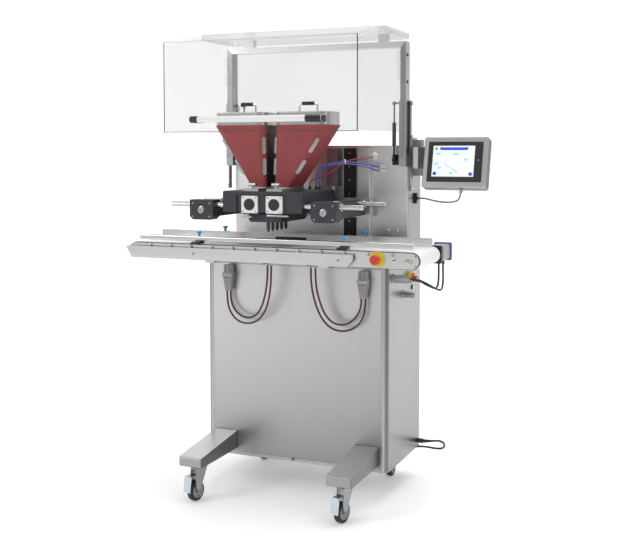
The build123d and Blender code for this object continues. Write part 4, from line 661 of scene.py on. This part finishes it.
# Strain reliefs and tie of the mains cord
mains_path = spline_points(mains_points)
gland_taper = mm(
    (0.5, 7.4), (4, 7.8), (8, 7.2), (10, 6), (13, 7.1), (16, 5.8), (19, 6.7), (22, 5.5), (25, 6.2),
    (28, 5.2), (36, 4.9))
gland_relief = Shape().follow(mains_path, gland_taper).piece(
    "gland_strain_relief", "base", black, "cable_black")
plug_taper = mm(
    (0.5, 7.8), (6, 7.6), (9, 6), (12, 7.2), (15, 5.8), (18, 6.8), (21, 5.5), (24, 6.3), (27, 5.2),
    (34, 4.9))
plug_relief = Shape().follow(mains_path[::-1], plug_taper).piece(
    "plug_strain_relief", "base", black, "cable_black")
tie_half = 0.006
tie_gap = 0.0062
tie_bend = 0.004
tie_foot, tie_shoulder, tie_top = 0.0004, 0.015, 0.0196
tie_thick = 0.0008
coil_reach = climb_radius + turn_pitch * half_turns
tie_y = coil_start_y + coil_reach
tie_outer = coil_reach + tie_gap
tie_inner = climb_radius - tie_gap
tie_halfway = (tie_outer + tie_inner) / 2
outer_share, inner_share = 0.985, 1.02
tie_rows = []
for along in (-tie_half, tie_half):
    outer = [(-tie_outer, tie_foot), (-tie_outer, tie_shoulder), (-tie_outer + tie_bend, tie_top),
             (-tie_inner - tie_bend, tie_top), (-tie_inner, tie_shoulder), (-tie_inner, tie_foot)]
    inner = [(x * (outer_share if x < -tie_halfway else inner_share), z - tie_thick if z > tie_foot else z)
             for x, z in reversed(outer)]
    tie_rows.append([(coil_x - x, tie_y + along, z) for x, z in outer + inner])
coil_tie = Shape().rings(tie_rows).piece("coil_tie", "base", black, "cable_black")


# Lines from the tower's fittings to the head
signal_route = mm(
    (232.5, 227, 1369), (232.5, 207, 1369), (203.5, 175, 1363), (134.5, 153, 1354), (89.5, 117, 1306),
    (43.5, 105, 1284), (10.5, 103, 1278), (-4.5, 103, 1266), (-4.5, 103, 1247))
upper_hose = mm(
    (253.5, 227, 1328), (253.5, 209, 1328), (223.5, 175, 1340), (137.5, 137, 1350), (77.5, 107, 1340),
    (43.5, 87, 1324), (32.5, 80, 1292), (32.5, 80, 1247))
lower_hose = mm(
    (253.5, 227, 1311), (253.5, 205, 1311), (225.5, 167, 1328), (140.5, 129, 1344), (81.5, 99, 1333),
    (54.5, 91, 1316), (44.5, 88, 1285), (44.5, 88, 1247))
head_cords = (
    ("signal_line", signal_route, 0.005, 0.329, signal_red),
    ("upper_air_hose", upper_hose, 0.006, 0.345, blue_hose),
    ("lower_air_hose", lower_hose, 0.006, 0.333, blue_hose))
for name, route, thick, length, sheath in head_cords:
    head_line, head_path = bent_cable(name, route, thick, sheath)
    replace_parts(head_line, "head_lines")


# Small fittings that the CAD pieces carry: finish and slot of the commonest
trim = (bright_steel, "bright_steel")
dark = (black, "foot_black")
pale = (white, "pump_white")


def round_bar(length, width, steps=6):
    """Outline of a flat bar with round ends."""
    outline = []
    for side in (1, -1):
        for step in range(steps + 1):
            angle = math.pi * (step / steps - 0.5)
            outline.append((side * ((length - width) / 2 + width / 2 * math.cos(angle)),
                            side * width / 2 * math.sin(angle)))
    return outline


def plate(width, height, corner, steps=3):
    """Outline of a plate with round corners."""
    outline = []
    for quarter, (x, y) in enumerate(((1, 1), (-1, 1), (-1, -1), (1, -1))):
        for step in range(steps + 1):
            angle = math.pi / 2 * (quarter + step / steps)
            outline.append((x * (width / 2 - corner) + corner * math.cos(angle),
                            y * (height / 2 - corner) + corner * math.sin(angle)))
    return outline


def screws(places, radius, height):
    """Socket screw heads that look forward, in one mesh."""
    heads = Shape()
    profile = [(radius, -0.0005), (radius, height * 0.7), (radius * 0.84, height), (radius * 0.5, height),
               (radius * 0.44, height * 0.4), (0, height * 0.4)]
    for place in places:
        heads.turn(place, forward, profile, 14)
    return heads


# Steel clips on the corners of the heating jackets
hopper_foot = 1.25
hopper_rise = 0.247
hopper_front = -0.1115
front_lean = 0.0095
foot_reach = 0.085
reach_gain = 0.169
inner_reach = 0.018
foot_corner = 0.014
corner_gain = 0.026


def hopper_corner(side, outer, level):
    """A point on a rounded front corner of a hopper."""
    share = (level - hopper_foot) / hopper_rise
    reach = foot_reach + reach_gain * share if outer else inner_reach
    inset = (foot_corner + corner_gain * share) * (1 - math.sqrt(0.5))
    away = side if outer else -side
    x = hopper_line + side * reach - away * inset
    return Vector((x, hopper_front - front_lean * share + inset, level))


clip_steel = steel("clip_steel", (0.4, 0.4, 0.395), 0.36, (200, 200, 200))
clip_levels = (1.331, 1.416)
clip_half = 0.03
clip_turn = 0.55
rib_pitch = 0.006
clips = Shape()
for side in (-1, 1):
    for outer in (True, False):
        for level in clip_levels:
            low = hopper_corner(side, outer, level - clip_half)
            high = hopper_corner(side, outer, level + clip_half)
            edge = (high - low).normalized()
            away = Vector((side * clip_turn if outer else -side * clip_turn, -1, 0))
            face = (away - edge * away.dot(edge)).normalized()
            middle = (low + high) / 2
            clips.slab(middle - face * 0.001, edge, face, round_bar(0.068, 0.015), 0.0058, 0.0016)
            for rib in range(-4, 5):
                clips.slab(middle + edge * rib * rib_pitch + face * 0.0046, edge, face,
                           plate(0.0028, 0.0105, 0.001), 0.001, 0.0004)
clips.piece("hopper_clips", "head", clip_steel, "bright_steel")


# Operator panel: lit screen with plain marks, and a small lamp beside it
panel_middle = Vector((0.5945, 0.16205, 1.35094))
panel_tilt = math.radians(15)
panel_right = Vector(across)
panel_up = Vector((0, math.sin(panel_tilt), math.cos(panel_tilt)))
panel_out = Vector((0, -math.cos(panel_tilt), math.sin(panel_tilt)))
screen_width = 0.17
screen_height = 0.127
screen_shift = -0.006
screen_lift = 0.002
glass_out = 0.0016
glass_thick = 0.0007
glass_play = 0.0005
mark_thick = 0.00015
dot_thick = 0.0002


def glow_finish(name, tone):
    """Lit glass with a faint change over the surface."""
    finish = Finish(name)
    cloud = finish.noise(finish.place, scale=30, detail=2)
    lit = cloud.tint(tuple(t * 0.96 for t in tone), tone)
    return finish.surface(Base_Color=lit, Roughness=cloud * 0.06 + 0.22, Emission_Color=lit,
                          Emission_Strength=0.27)


def screen_spot(right, down):
    """A place on the screen's glass, in shares from its top left corner."""
    return (panel_middle + panel_right * (screen_shift + (right - 0.5) * screen_width)
            + panel_up * (screen_lift + (0.5 - down) * screen_height) + panel_out * glass_out)


screen_white = glow_finish("screen_white", (0.84, 0.86, 0.9))
screen_blue = glow_finish("screen_blue", (0.03, 0.08, 0.62))
screen_cyan = glow_finish("screen_cyan", (0.22, 0.72, 0.84))
screen_green = glow_finish("screen_green", (0.05, 0.42, 0.14))
glass = Shape().slab(screen_spot(0.5, 0.5) - panel_out * glass_thick, panel_right, panel_out,
                     plate(screen_width - glass_play, screen_height - glass_play, 0.001), glass_thick)
glass.piece("screen_glass", "panel", screen_white, "bezel")
banner = mm((-55, -5.8), (55, -5.8), (59, 5.8), (-59, 5.8))
trace = panel_right * 0.33 * screen_width - panel_up * 0.27 * screen_height
blue_marks = Shape().slab(screen_spot(0.5, 0.098), panel_right, panel_out, banner, mark_thick)
blue_marks.slab(screen_spot(0.45, 0.718), trace, panel_out, plate(trace.length, 0.0014, 0.0003), mark_thick)
blue_marks.slab(screen_spot(0.56, 0.81), trace, panel_out, plate(0.018, 0.0016, 0.0006), dot_thick)
blue_dot = [(0.0076, 0), (0.0076, dot_thick), (0, dot_thick)]
for right, down in ((0.069, 0.9), (0.925, 0.913)):
    blue_marks.turn(screen_spot(right, down), panel_out, blue_dot, 24)
blue_marks.piece("screen_blue_marks", "panel", screen_blue, "bezel")
fields = ((0.133, 0.26, 0.018), (0.55, 0.26, 0.018), (0.796, 0.45, 0.014), (0.091, 0.583, 0.018),
          (0.18, 0.714, 0.014), (0.452, 0.88, 0.014))
cyan_fields = Shape()
for right, down, wide in fields:
    cyan_fields.slab(screen_spot(right, down), panel_right, panel_out, plate(wide, 0.008, 0.0012), mark_thick)
cyan_fields.piece("screen_cyan_fields", "panel", screen_cyan, "bezel")
green_ring = [(0.0058, 0), (0.0058, dot_thick), (0.0034, dot_thick), (0.0034, 0.00005), (0, 0.00005)]
green_mark = Shape().turn(screen_spot(0.078, 0.1), panel_out, green_ring, 24)
green_mark.piece("screen_green_mark", "panel", screen_green, "bezel")
lamp_place = panel_middle + panel_right * 0.0945 + panel_up * 0.006 + panel_out * 0.0018
lamp_dome = mm((1.6, 0), (1.5, 0.5), (0.8, 0.9), (0, 1))
panel_lamp = Shape().turn(lamp_place, panel_out, lamp_dome, 14)
panel_lamp.piece("panel_lamp", "panel", screen_white, "bezel")


# Depositing head: screws of the pump flanges and arm blocks, strips under the pumps
arm_middles = (-0.3525, 0.1775)
arm_face = -0.195
arm_level = 1.158
strip_back = -0.1745
for name, middles, face, level, half_width, half_height, radius, height in (
        ("pump_screws", (-0.141, -0.034), -0.1878, 1.183, 0.0275, 0.0265, 0.0036, 0.0022),
        ("arm_screws", arm_middles, arm_face, arm_level, 0.038, 0.027, 0.0034, 0.0015)):
    places = [(middle + x, face, level + z) for middle in middles
              for x in (-half_width, half_width) for z in (-half_height, half_height)]
    screws(places, radius, height).piece(name, "head", *trim)
arm_washer = mm((14.5, 0), (14.5, 1.4), (13.8, 1.8), (9, 1.8))
washers = Shape()
for middle in arm_middles:
    washers.turn((middle, arm_face, arm_level), forward, arm_washer, 28)
washers.piece("arm_washers", "head", *trim)
pump_strips = Shape()
for middle, length, level in ((-0.021, 0.092, 1.1398), (-0.1545, 0.044, 1.1345)):
    pump_strips.front((middle, strip_back, level), plate(length, 0.0065, 0.0015), 0.0125, 0.001)
pump_strips.piece("pump_strips", "head", *trim)


# Tower: screw row on the rail, cable gland, air blocks and the tie of the three lines
tower_face = 0.2432
rail_x = 0.1235
rail_face = 0.2252
rail_foot = 1.041
rail_pitch = 0.0575
rail_places = [(rail_x, rail_face, rail_foot + rail_pitch * count) for count in range(7)]
screws(rail_places, 0.0042, 0.0003).piece("rail_screws", "base", *trim)
gland_place = (signal_route[0][0], tower_face, signal_route[0][2])
gland_nut = mm((20.5, 0), (20.5, 6), (19, 7))
gland_dome = mm((17, 6), (17, 17), (14, 22), (7, 25), (4.6, 25))
gland = Shape().turn(gland_place, forward, gland_nut, 6).turn(gland_place, forward, gland_dome, 24)
gland.piece("signal_gland", "base", *pale)
blocks = Shape()
for level in (1.3115, 1.3285):
    blocks.front((0.2735, tower_face, level), plate(0.03, 0.014, 0.002), 0.013, 0.0012)
blocks.piece("air_blocks", "base", *pale)
tie_middle = Vector((0.1375, 0.14, 1.349))
tie_across = Vector((0.006, -0.024, -0.01)).normalized()
tie_along = Vector((-0.906, -0.42, 0))
tie_width = 0.004
line_tie = Shape().slab(tie_middle - tie_along * tie_width / 2, tie_across, tie_along,
                        round_bar(0.036, 0.013), tie_width, 0.001)
line_tie.piece("line_tie", "base", *pale)


# Conveyor: bolts with washers and screws on the front plate, product sensor on the back guide
front_plate = -0.155
bolt_level = 0.983
bolt_xs = (0.4477, 0.4977)
end_xs = (0.5324, -0.7074)
end_levels = (0.963, 1.001)
bolt_places = [(x, front_plate, bolt_level) for x in bolt_xs]
bolt_washer = mm((8.8, 0), (8.8, 1.2), (8, 1.6), (5.6, 1.6))
plate_bolts = screws(bolt_places, 0.0058, 0.0042)
for place in bolt_places:
    plate_bolts.turn(place, forward, bolt_washer, 24)
plate_bolts.piece("plate_bolts", "base", *trim)
end_places = [(x, front_plate, z) for x in end_xs for z in end_levels]
screws(end_places, 0.0042, 0.002).piece("end_screws", "base", *trim)
sensor_level = 1.03
sensor = Shape().front((-0.0825, 0.0835, sensor_level), plate(0.137, 0.0095, 0.003), 0.009, 0.0012)
sensor.piece("product_sensor", "back_guide", *dark)
lens_dome = mm((2.6, 0), (2.4, 0.8), (1.4, 1.6), (0, 1.9))
sensor_lens = Shape().turn((-0.1053, 0.0748, sensor_level), forward, lens_dome, 16)
sensor_lens.piece("sensor_lens", "back_guide", red, "red")


# Cabinet: screw at the foot of the front panel, service port on the side
cabinet_front = -0.015
cabinet_side = 0.3775
port_level = 0.8226
foot_screw = screws([(-0.03, cabinet_front, 0.131)], 0.0066, 0.005)
foot_screw.piece("front_screw", "base", link_steel, "bright_steel")
for name, y, width, height, look in (("service_port", 0.2975, 0.011, 0.004, dark),
                                     ("port_flap", 0.308, 0.009, 0.0045, pale)):
    port = Shape().slab((cabinet_side, y, port_level), backward, across, plate(width, 0.019, 0.002),
                        height, 0.001)
    port.piece(name, "base", *look)


# Guard: black ends of the handle; dark strips on the edges of the clear front, painted shade, and a pale
# strip on its fold, painted highlight
handle_y = -0.405
handle_level = 1.512
handle_radius = 0.0128
handle_back = -0.3612
half_turn = [math.pi * (step / 10 + 0.5) for step in range(11)]
end_outline = [(handle_y + handle_radius * math.cos(angle), handle_radius * math.sin(angle))
               for angle in half_turn]
end_outline += [(handle_back, -handle_radius), (handle_back, handle_radius)]
handle_ends = Shape()
handle_ends.slab((-0.247, 0, handle_level), backward, leftward, end_outline, 0.0335, 0.003)
handle_ends.slab((0.195, 0, handle_level), backward, across, end_outline, 0.0625, 0.003)
handle_ends.piece("handle_ends", "guard", black, "spring_black")
sheet_front = -0.3608
sheet_width = 0.8
edge_thick = 0.0006
slope = Vector((0, 0.307, 0.06))
slope_out = slope.cross(Vector(leftward))
edges = Shape()
for x in (-0.421, 0.376):
    edges.front((x, sheet_front, 1.6385), plate(0.0042, 0.347, 0.001), edge_thick)
    edges.slab((x, -0.2075, 1.843), slope, slope_out, plate(0.306, 0.003, 0.001), edge_thick)
edges.front((mid_x, sheet_front, 1.4662), plate(sheet_width, 0.0024, 0.001), edge_thick)
edges.piece("guard_edge_shade", "guard", sheet_edge_shade, "clear")
fold = Shape().front((mid_x, sheet_front, 1.8114), plate(sheet_width, 0.002, 0.0008), edge_thick)
fold.piece("guard_fold_highlight", "guard", sheet_fold_highlight, "clear")


# Cable fittings in full detail, in place of their plain CAD solids
def fitting(shape, name, finish, slot):
    """Finishes a piece that stands for part of the cable fittings."""
    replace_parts(shape.piece(name, "base", finish, slot), "cable_fittings")


# Heater leads: plugs at the cabinet, clamp bars and ferrules at the other ends, under the conveyor
plug_y = left_outer_lead[0][1]
latch_level = 0.88
hood = mm(
    (922, 33, 22), (920, 37, 26), (893, 37, 26), (891.5, 42, 30), (867, 44, 31), (865, 41, 29),
    (856, 39, 28), (855, 36, 26), (852, 36, 26), (851, 38, 27), (844, 36, 26), (843, 33, 24),
    (840, 33, 24), (839, 35, 25), (826, 31, 22), (820, 30, 20), (814, 29, 18))
ferrule = mm((4.4, 0), (5.6, 1), (5.6, 8), (4.8, 11))
hoods = Shape()
plug_seats = Shape()
latches = Shape()
groove_shade_strips = Shape()
clamp_bars = Shape()
lead_ends = Shape()
for outer, inner in ((left_outer_lead, left_inner_lead), (right_outer_lead, right_inner_lead)):
    plug_middle = (outer[0][0] + inner[0][0]) / 2
    hoods.rings([[(plug_middle + x, plug_y + y, level) for x, y in plate(wide, deep, 0.004)]
                 for level, wide, deep in hood])
    plug_seats.front((plug_middle, cabinet_front, 0.8965), plate(0.033, 0.044, 0.003), 0.011, 0.001)
    latches.front((plug_middle - 0.001, -0.0515, latch_level), plate(0.046, 0.0125, 0.003), 0.0035, 0.0012)
    latches.slab((plug_middle - 0.0205, -0.03, latch_level), upward, leftward, plate(0.02, 0.022, 0.003),
                 0.004, 0.001)
    # Painted shade: thin dark strips on each plug's latch stand for the shade in its recessed lines
    for groove_x in (-0.009, 0.009):
        groove_shade_strips.front((plug_middle + groove_x, -0.0499, 0.906), plate(0.0022, 0.02, 0.0008), 0.0003)
    groove_shade_strips.front((plug_middle, -0.0524, 0.869), plate(0.03, 0.0022, 0.0008), 0.0003)
    bar_x = (outer[-1][0] + inner[-1][0]) / 2
    clamp_bars.slab((bar_x, -0.116, 0.9435), across, upward, plate(0.03, 0.07, 0.003), 0.0025, 0.0006)
    for x, y, _ in (outer[-1], inner[-1]):
        lead_ends.turn((x, y, 0.933), upward, ferrule, 18)
fitting(hoods, "plug_hoods", plug_grey, "connector")
fitting(plug_seats, "plug_seats", *dark)
fitting(latches, "plug_latches", latch_grey, "connector")
fitting(groove_shade_strips, "plug_groove_shade", *dark)

# Round connectors on the cabinet's side: two with a cable end and one capped
socket_profile = mm(
    (16.8, 0), (16.8, 4), (15.5, 5.8), (12.2, 6), (12.2, 10), (13.4, 10.8), (13.4, 22.5), (12.4, 23.2),
    (12.4, 31), (13.2, 31.8), (13.2, 46))
cable_end = mm((11.8, 47.5), (11.8, 56), (9.6, 58), (9.6, 69), (7, 71.5), (4.2, 72))
cap_end = mm((11.8, 50.5), (9, 51.8), (0, 51.8))
capped_place = (cabinet_side, 0.177, 0.808)
sockets = Shape()
for (_, y, level), end in ((far_motor_cable[-1], cable_end), (near_motor_cable[-1], cable_end),
                           (capped_place, cap_end)):
    sockets.turn((cabinet_side, y, level), across, socket_profile + end, 32)
fitting(sockets, "side_connectors", connector_steel, "connector")
fitting(clamp_bars, "lead_clamp_bars", level_steel, "bright_steel")
fitting(lead_ends, "lead_ferrules", dull_steel, "bright_steel")

# Glands of the panel cable, the mains cord and the motor cables, and unions on the tower
gland_y, gland_level = panel_route[-1][1:]
panel_collar = mm((7, 0), (7, 2), (5.2, 4.5), (3.7, 5))
tower_gland = Shape().slab((cabinet_side, gland_y, gland_level), backward, across, plate(0.022, 0.045, 0.003),
                           0.0105, 0.002)
tower_gland.turn((0.3878, gland_y, gland_level), across, [(0.0085, 0), (0.0085, 0.003)], 6)
tower_gland.turn((0.39, gland_y, gland_level), across, panel_collar)
fitting(tower_gland, "panel_cable_gland", *dark)
mains_place = (cabinet_side, *mains_route[0][1:])
mains_nut = mm((11.2, 0), (11.2, 6), (10.4, 6.8))
mains_collar = mm((9.8, 6), (9.8, 16), (10.8, 16.8), (10.8, 23.5), (8.6, 29), (7.6, 31.8), (4.7, 32))
mains_gland = Shape().turn(mains_place, across, mains_nut, 6).turn(mains_place, across, mains_collar, 24)
fitting(mains_gland, "mains_gland", *dark)
motor_collar = mm((6.8, 0), (6.8, 5), (5.8, 5.8), (6.2, 6.6), (6.2, 12), (4.8, 16))
motor_glands = Shape()
for x, y, _ in (near_motor_cable[0], far_motor_cable[0]):
    motor_glands.turn((x, y, 0.9455), downward, motor_collar)
fitting(motor_glands, "motor_cable_glands", *dark)
union_back = 0.2435
union_nut = mm((7, 0), (7, 5.5), (6.2, 6.2))
union_collar = mm((5.2, 5.5), (5.2, 12), (6, 12.6), (6, 15), (4, 16.5), (2.4, 16.5))
tower_nuts = Shape()
lower_unions = ((0.2915, union_back, 1.064), (0.332, union_back, 1.062))
for x, _, level in (upper_hose[0], lower_hose[0], *lower_unions, signal_route[0]):
    tower_nuts.turn((x, union_back, level), forward, union_nut, 6)
    tower_nuts.turn((x, union_back, level), forward, union_collar)
fitting(tower_nuts, "tower_unions", *trim)


# Rolled seams that close the cabinet's front corners, in a dark copy of the steel that paints the shade of
# the rounded corners
seam_foot = 0.1202
seam_rise = 0.8196
seam_y = 0.01
seam_inner = 0.0225
seam_angles = [math.radians(angle) for angle in (-64, -60, -55, -50, -45, -40, -35, -30, -25, -21)]
seam_radii = (0.0246, 0.0252, 0.0254, 0.0247, 0.0241, 0.0241, 0.0247, 0.0254, 0.0252, 0.0246)
seam_line = [*zip(seam_angles, seam_radii), *((angle, seam_inner) for angle in reversed(seam_angles))]
for name, middle_x, side in (("right_corner_seam", 0.3525, 1), ("left_corner_seam", -0.3975, -1)):
    outline = [(middle_x + side * radius * math.cos(angle), seam_y + radius * math.sin(angle))
               for angle, radius in seam_line]
    seam = Shape().slab((0, 0, seam_foot), across, upward, outline, seam_rise)
    seam.piece(name, "base", seam_shade_steel, "stainless")


# Guard's channels and posts: dark wear strips, two bolts to a post, and pads behind the clear brackets
channel_reach = 0.4105
bolt_reach = 0.407
pad_reach = 0.39
post_bolt = mm((7, -0.5), (7, 2), (5.8, 3), (3, 3), (2.8, 1.5), (0, 1.5))
wear_strips = Shape()
post_bolts = Shape()
post_pads = Shape()
for side in (-1, 1):
    outward = (side, 0, 0)
    wear_strips.slab((mid_x + side * channel_reach, 0.1955, 1.487), backward, outward,
                     plate(0.021, 0.222, 0.009), 0.0012, 0.0004)
    for level in (1.6745, 1.7835):
        post_bolts.turn((mid_x + side * bolt_reach, 0.2, level), outward, post_bolt, 18)
    post_pads.front((mid_x + side * pad_reach, 0.1812, 1.7365), plate(0.0104, 0.1234, 0.0005), 0.0005)
wear_strips.piece("channel_wear_strips", "base", *dark)
post_pads.piece("post_pads", "guard", alloy, "guard_aluminium")
post_bolts.piece("post_bolts", "guard", black_paint, "bright_steel")


# Gearmotor's blue fan cover, and black discs in the sockets of the larger bolts: painted shade in the
# recesses
motor_x = 0.5145
motor_level = 0.981
fan_rib_pitch = 0.0092
fan_cover = Shape().slab((motor_x, 0.279, motor_level), across, backward,
                         plate(0.073, 0.073, 0.006), 0.0246, 0.009)
for rib in range(-3, 4):
    fan_cover.slab((motor_x + fan_rib_pitch * rib, 0.3025, motor_level), across, backward,
                   plate(0.003, 0.05, 0.001), 0.0016, 0.0006)
fan_cover.piece("motor_fan_cover", "base", cap_blue, "thumb_blue")
socket_shade_places = [(x, -0.174, 0.975, 0.0034) for x in (-0.4035, 0.2285)]
socket_shade_places += [(x, -0.1592, bolt_level, 0.0032) for x in bolt_xs]
socket_shade_places += [(end_xs[0], -0.157, level, 0.0022) for level in end_levels]
socket_shade_discs = Shape()
for x, y, level, radius in socket_shade_places:
    socket_shade_discs.turn((x, y, level), forward, [(radius, -0.0003), (radius, 0.0002), (0, 0.0002)], 6)
socket_shade_discs.piece("socket_shade_discs", "base", *dark)


# Pale studio floor with a soft rise far behind, lit up towards it, and broad lights
def floor_finish():
    """Matt pale floor that glows a little more towards the back."""
    finish = Finish("studio_floor")
    cloud = finish.noise(finish.place, scale=0.8, detail=2)
    depth = finish.axis(1) * 0.92 - finish.axis(0) * 0.39
    glow = ((depth - 1.0) * 0.4).tint((0.19, 0.19, 0.19), (0.33, 0.33, 0.33))
    tone = cloud.tint((0.92, 0.92, 0.92), (0.94, 0.94, 0.94))
    return finish.surface(Base_Color=tone, Roughness=cloud * 0.1 + 0.8, Emission_Color=glow,
                          Emission_Strength=1.0)


sweep_line = [(-9, 0), (5.2, 0), (5.8, 0.06), (6.3, 0.3), (6.6, 0.75), (6.75, 1.4), (6.8, 2.4), (6.8, 8)]
floor_half = 40.0
turned = Matrix.Rotation(math.radians(23), 4, "Z")
floor_mesh = bmesh.new()
floor_rows = [[floor_mesh.verts.new(turned @ Vector((x, y, z))) for x in (-floor_half, floor_half)]
              for y, z in sweep_line]
for near, far in zip(floor_rows, floor_rows[1:]):
    floor_mesh.faces.new((near[0], near[1], far[1], far[0]))
floor_data = bpy.data.meshes.new("studio_floor")
floor_mesh.to_mesh(floor_data)
floor_mesh.free()
floor_data.materials.append(floor_finish())
floor_data.shade_smooth()
floor = new_object("studio_floor", floor_data)


def lamp(name, place, aim, size, power):
    """A broad light at a place, turned to its aim."""
    light = bpy.data.lights.new(name, "AREA")
    light.shape = "RECTANGLE"
    light.size, light.size_y = size
    light.energy = power
    made = new_object(name, light)
    made.location = place
    made.rotation_euler = (Vector(aim) - Vector(place)).to_track_quat("-Z", "Y").to_euler()


lamp("key", (-2.8, -3.4, 2.8), (-1.6, -2.2, 0.2), (2.0, 2.4), 62)
lamp("fill", (3.6, -1.6, 2.6), (0, 0.2, 0.9), (1.6, 2.4), 14)
lamp("top", (0.4, 1.1, 4.4), (0.2, 1.0, 0), (4.0, 3.0), 142)

world = bpy.data.worlds.new("studio")
world.use_nodes = True
background = world.node_tree.nodes["Background"].inputs
background["Color"].default_value = (1, 1, 1, 1)
background["Strength"].default_value = 0.5
bpy.context.scene.world = world
bpy.context.scene.view_settings.view_transform = "Standard"
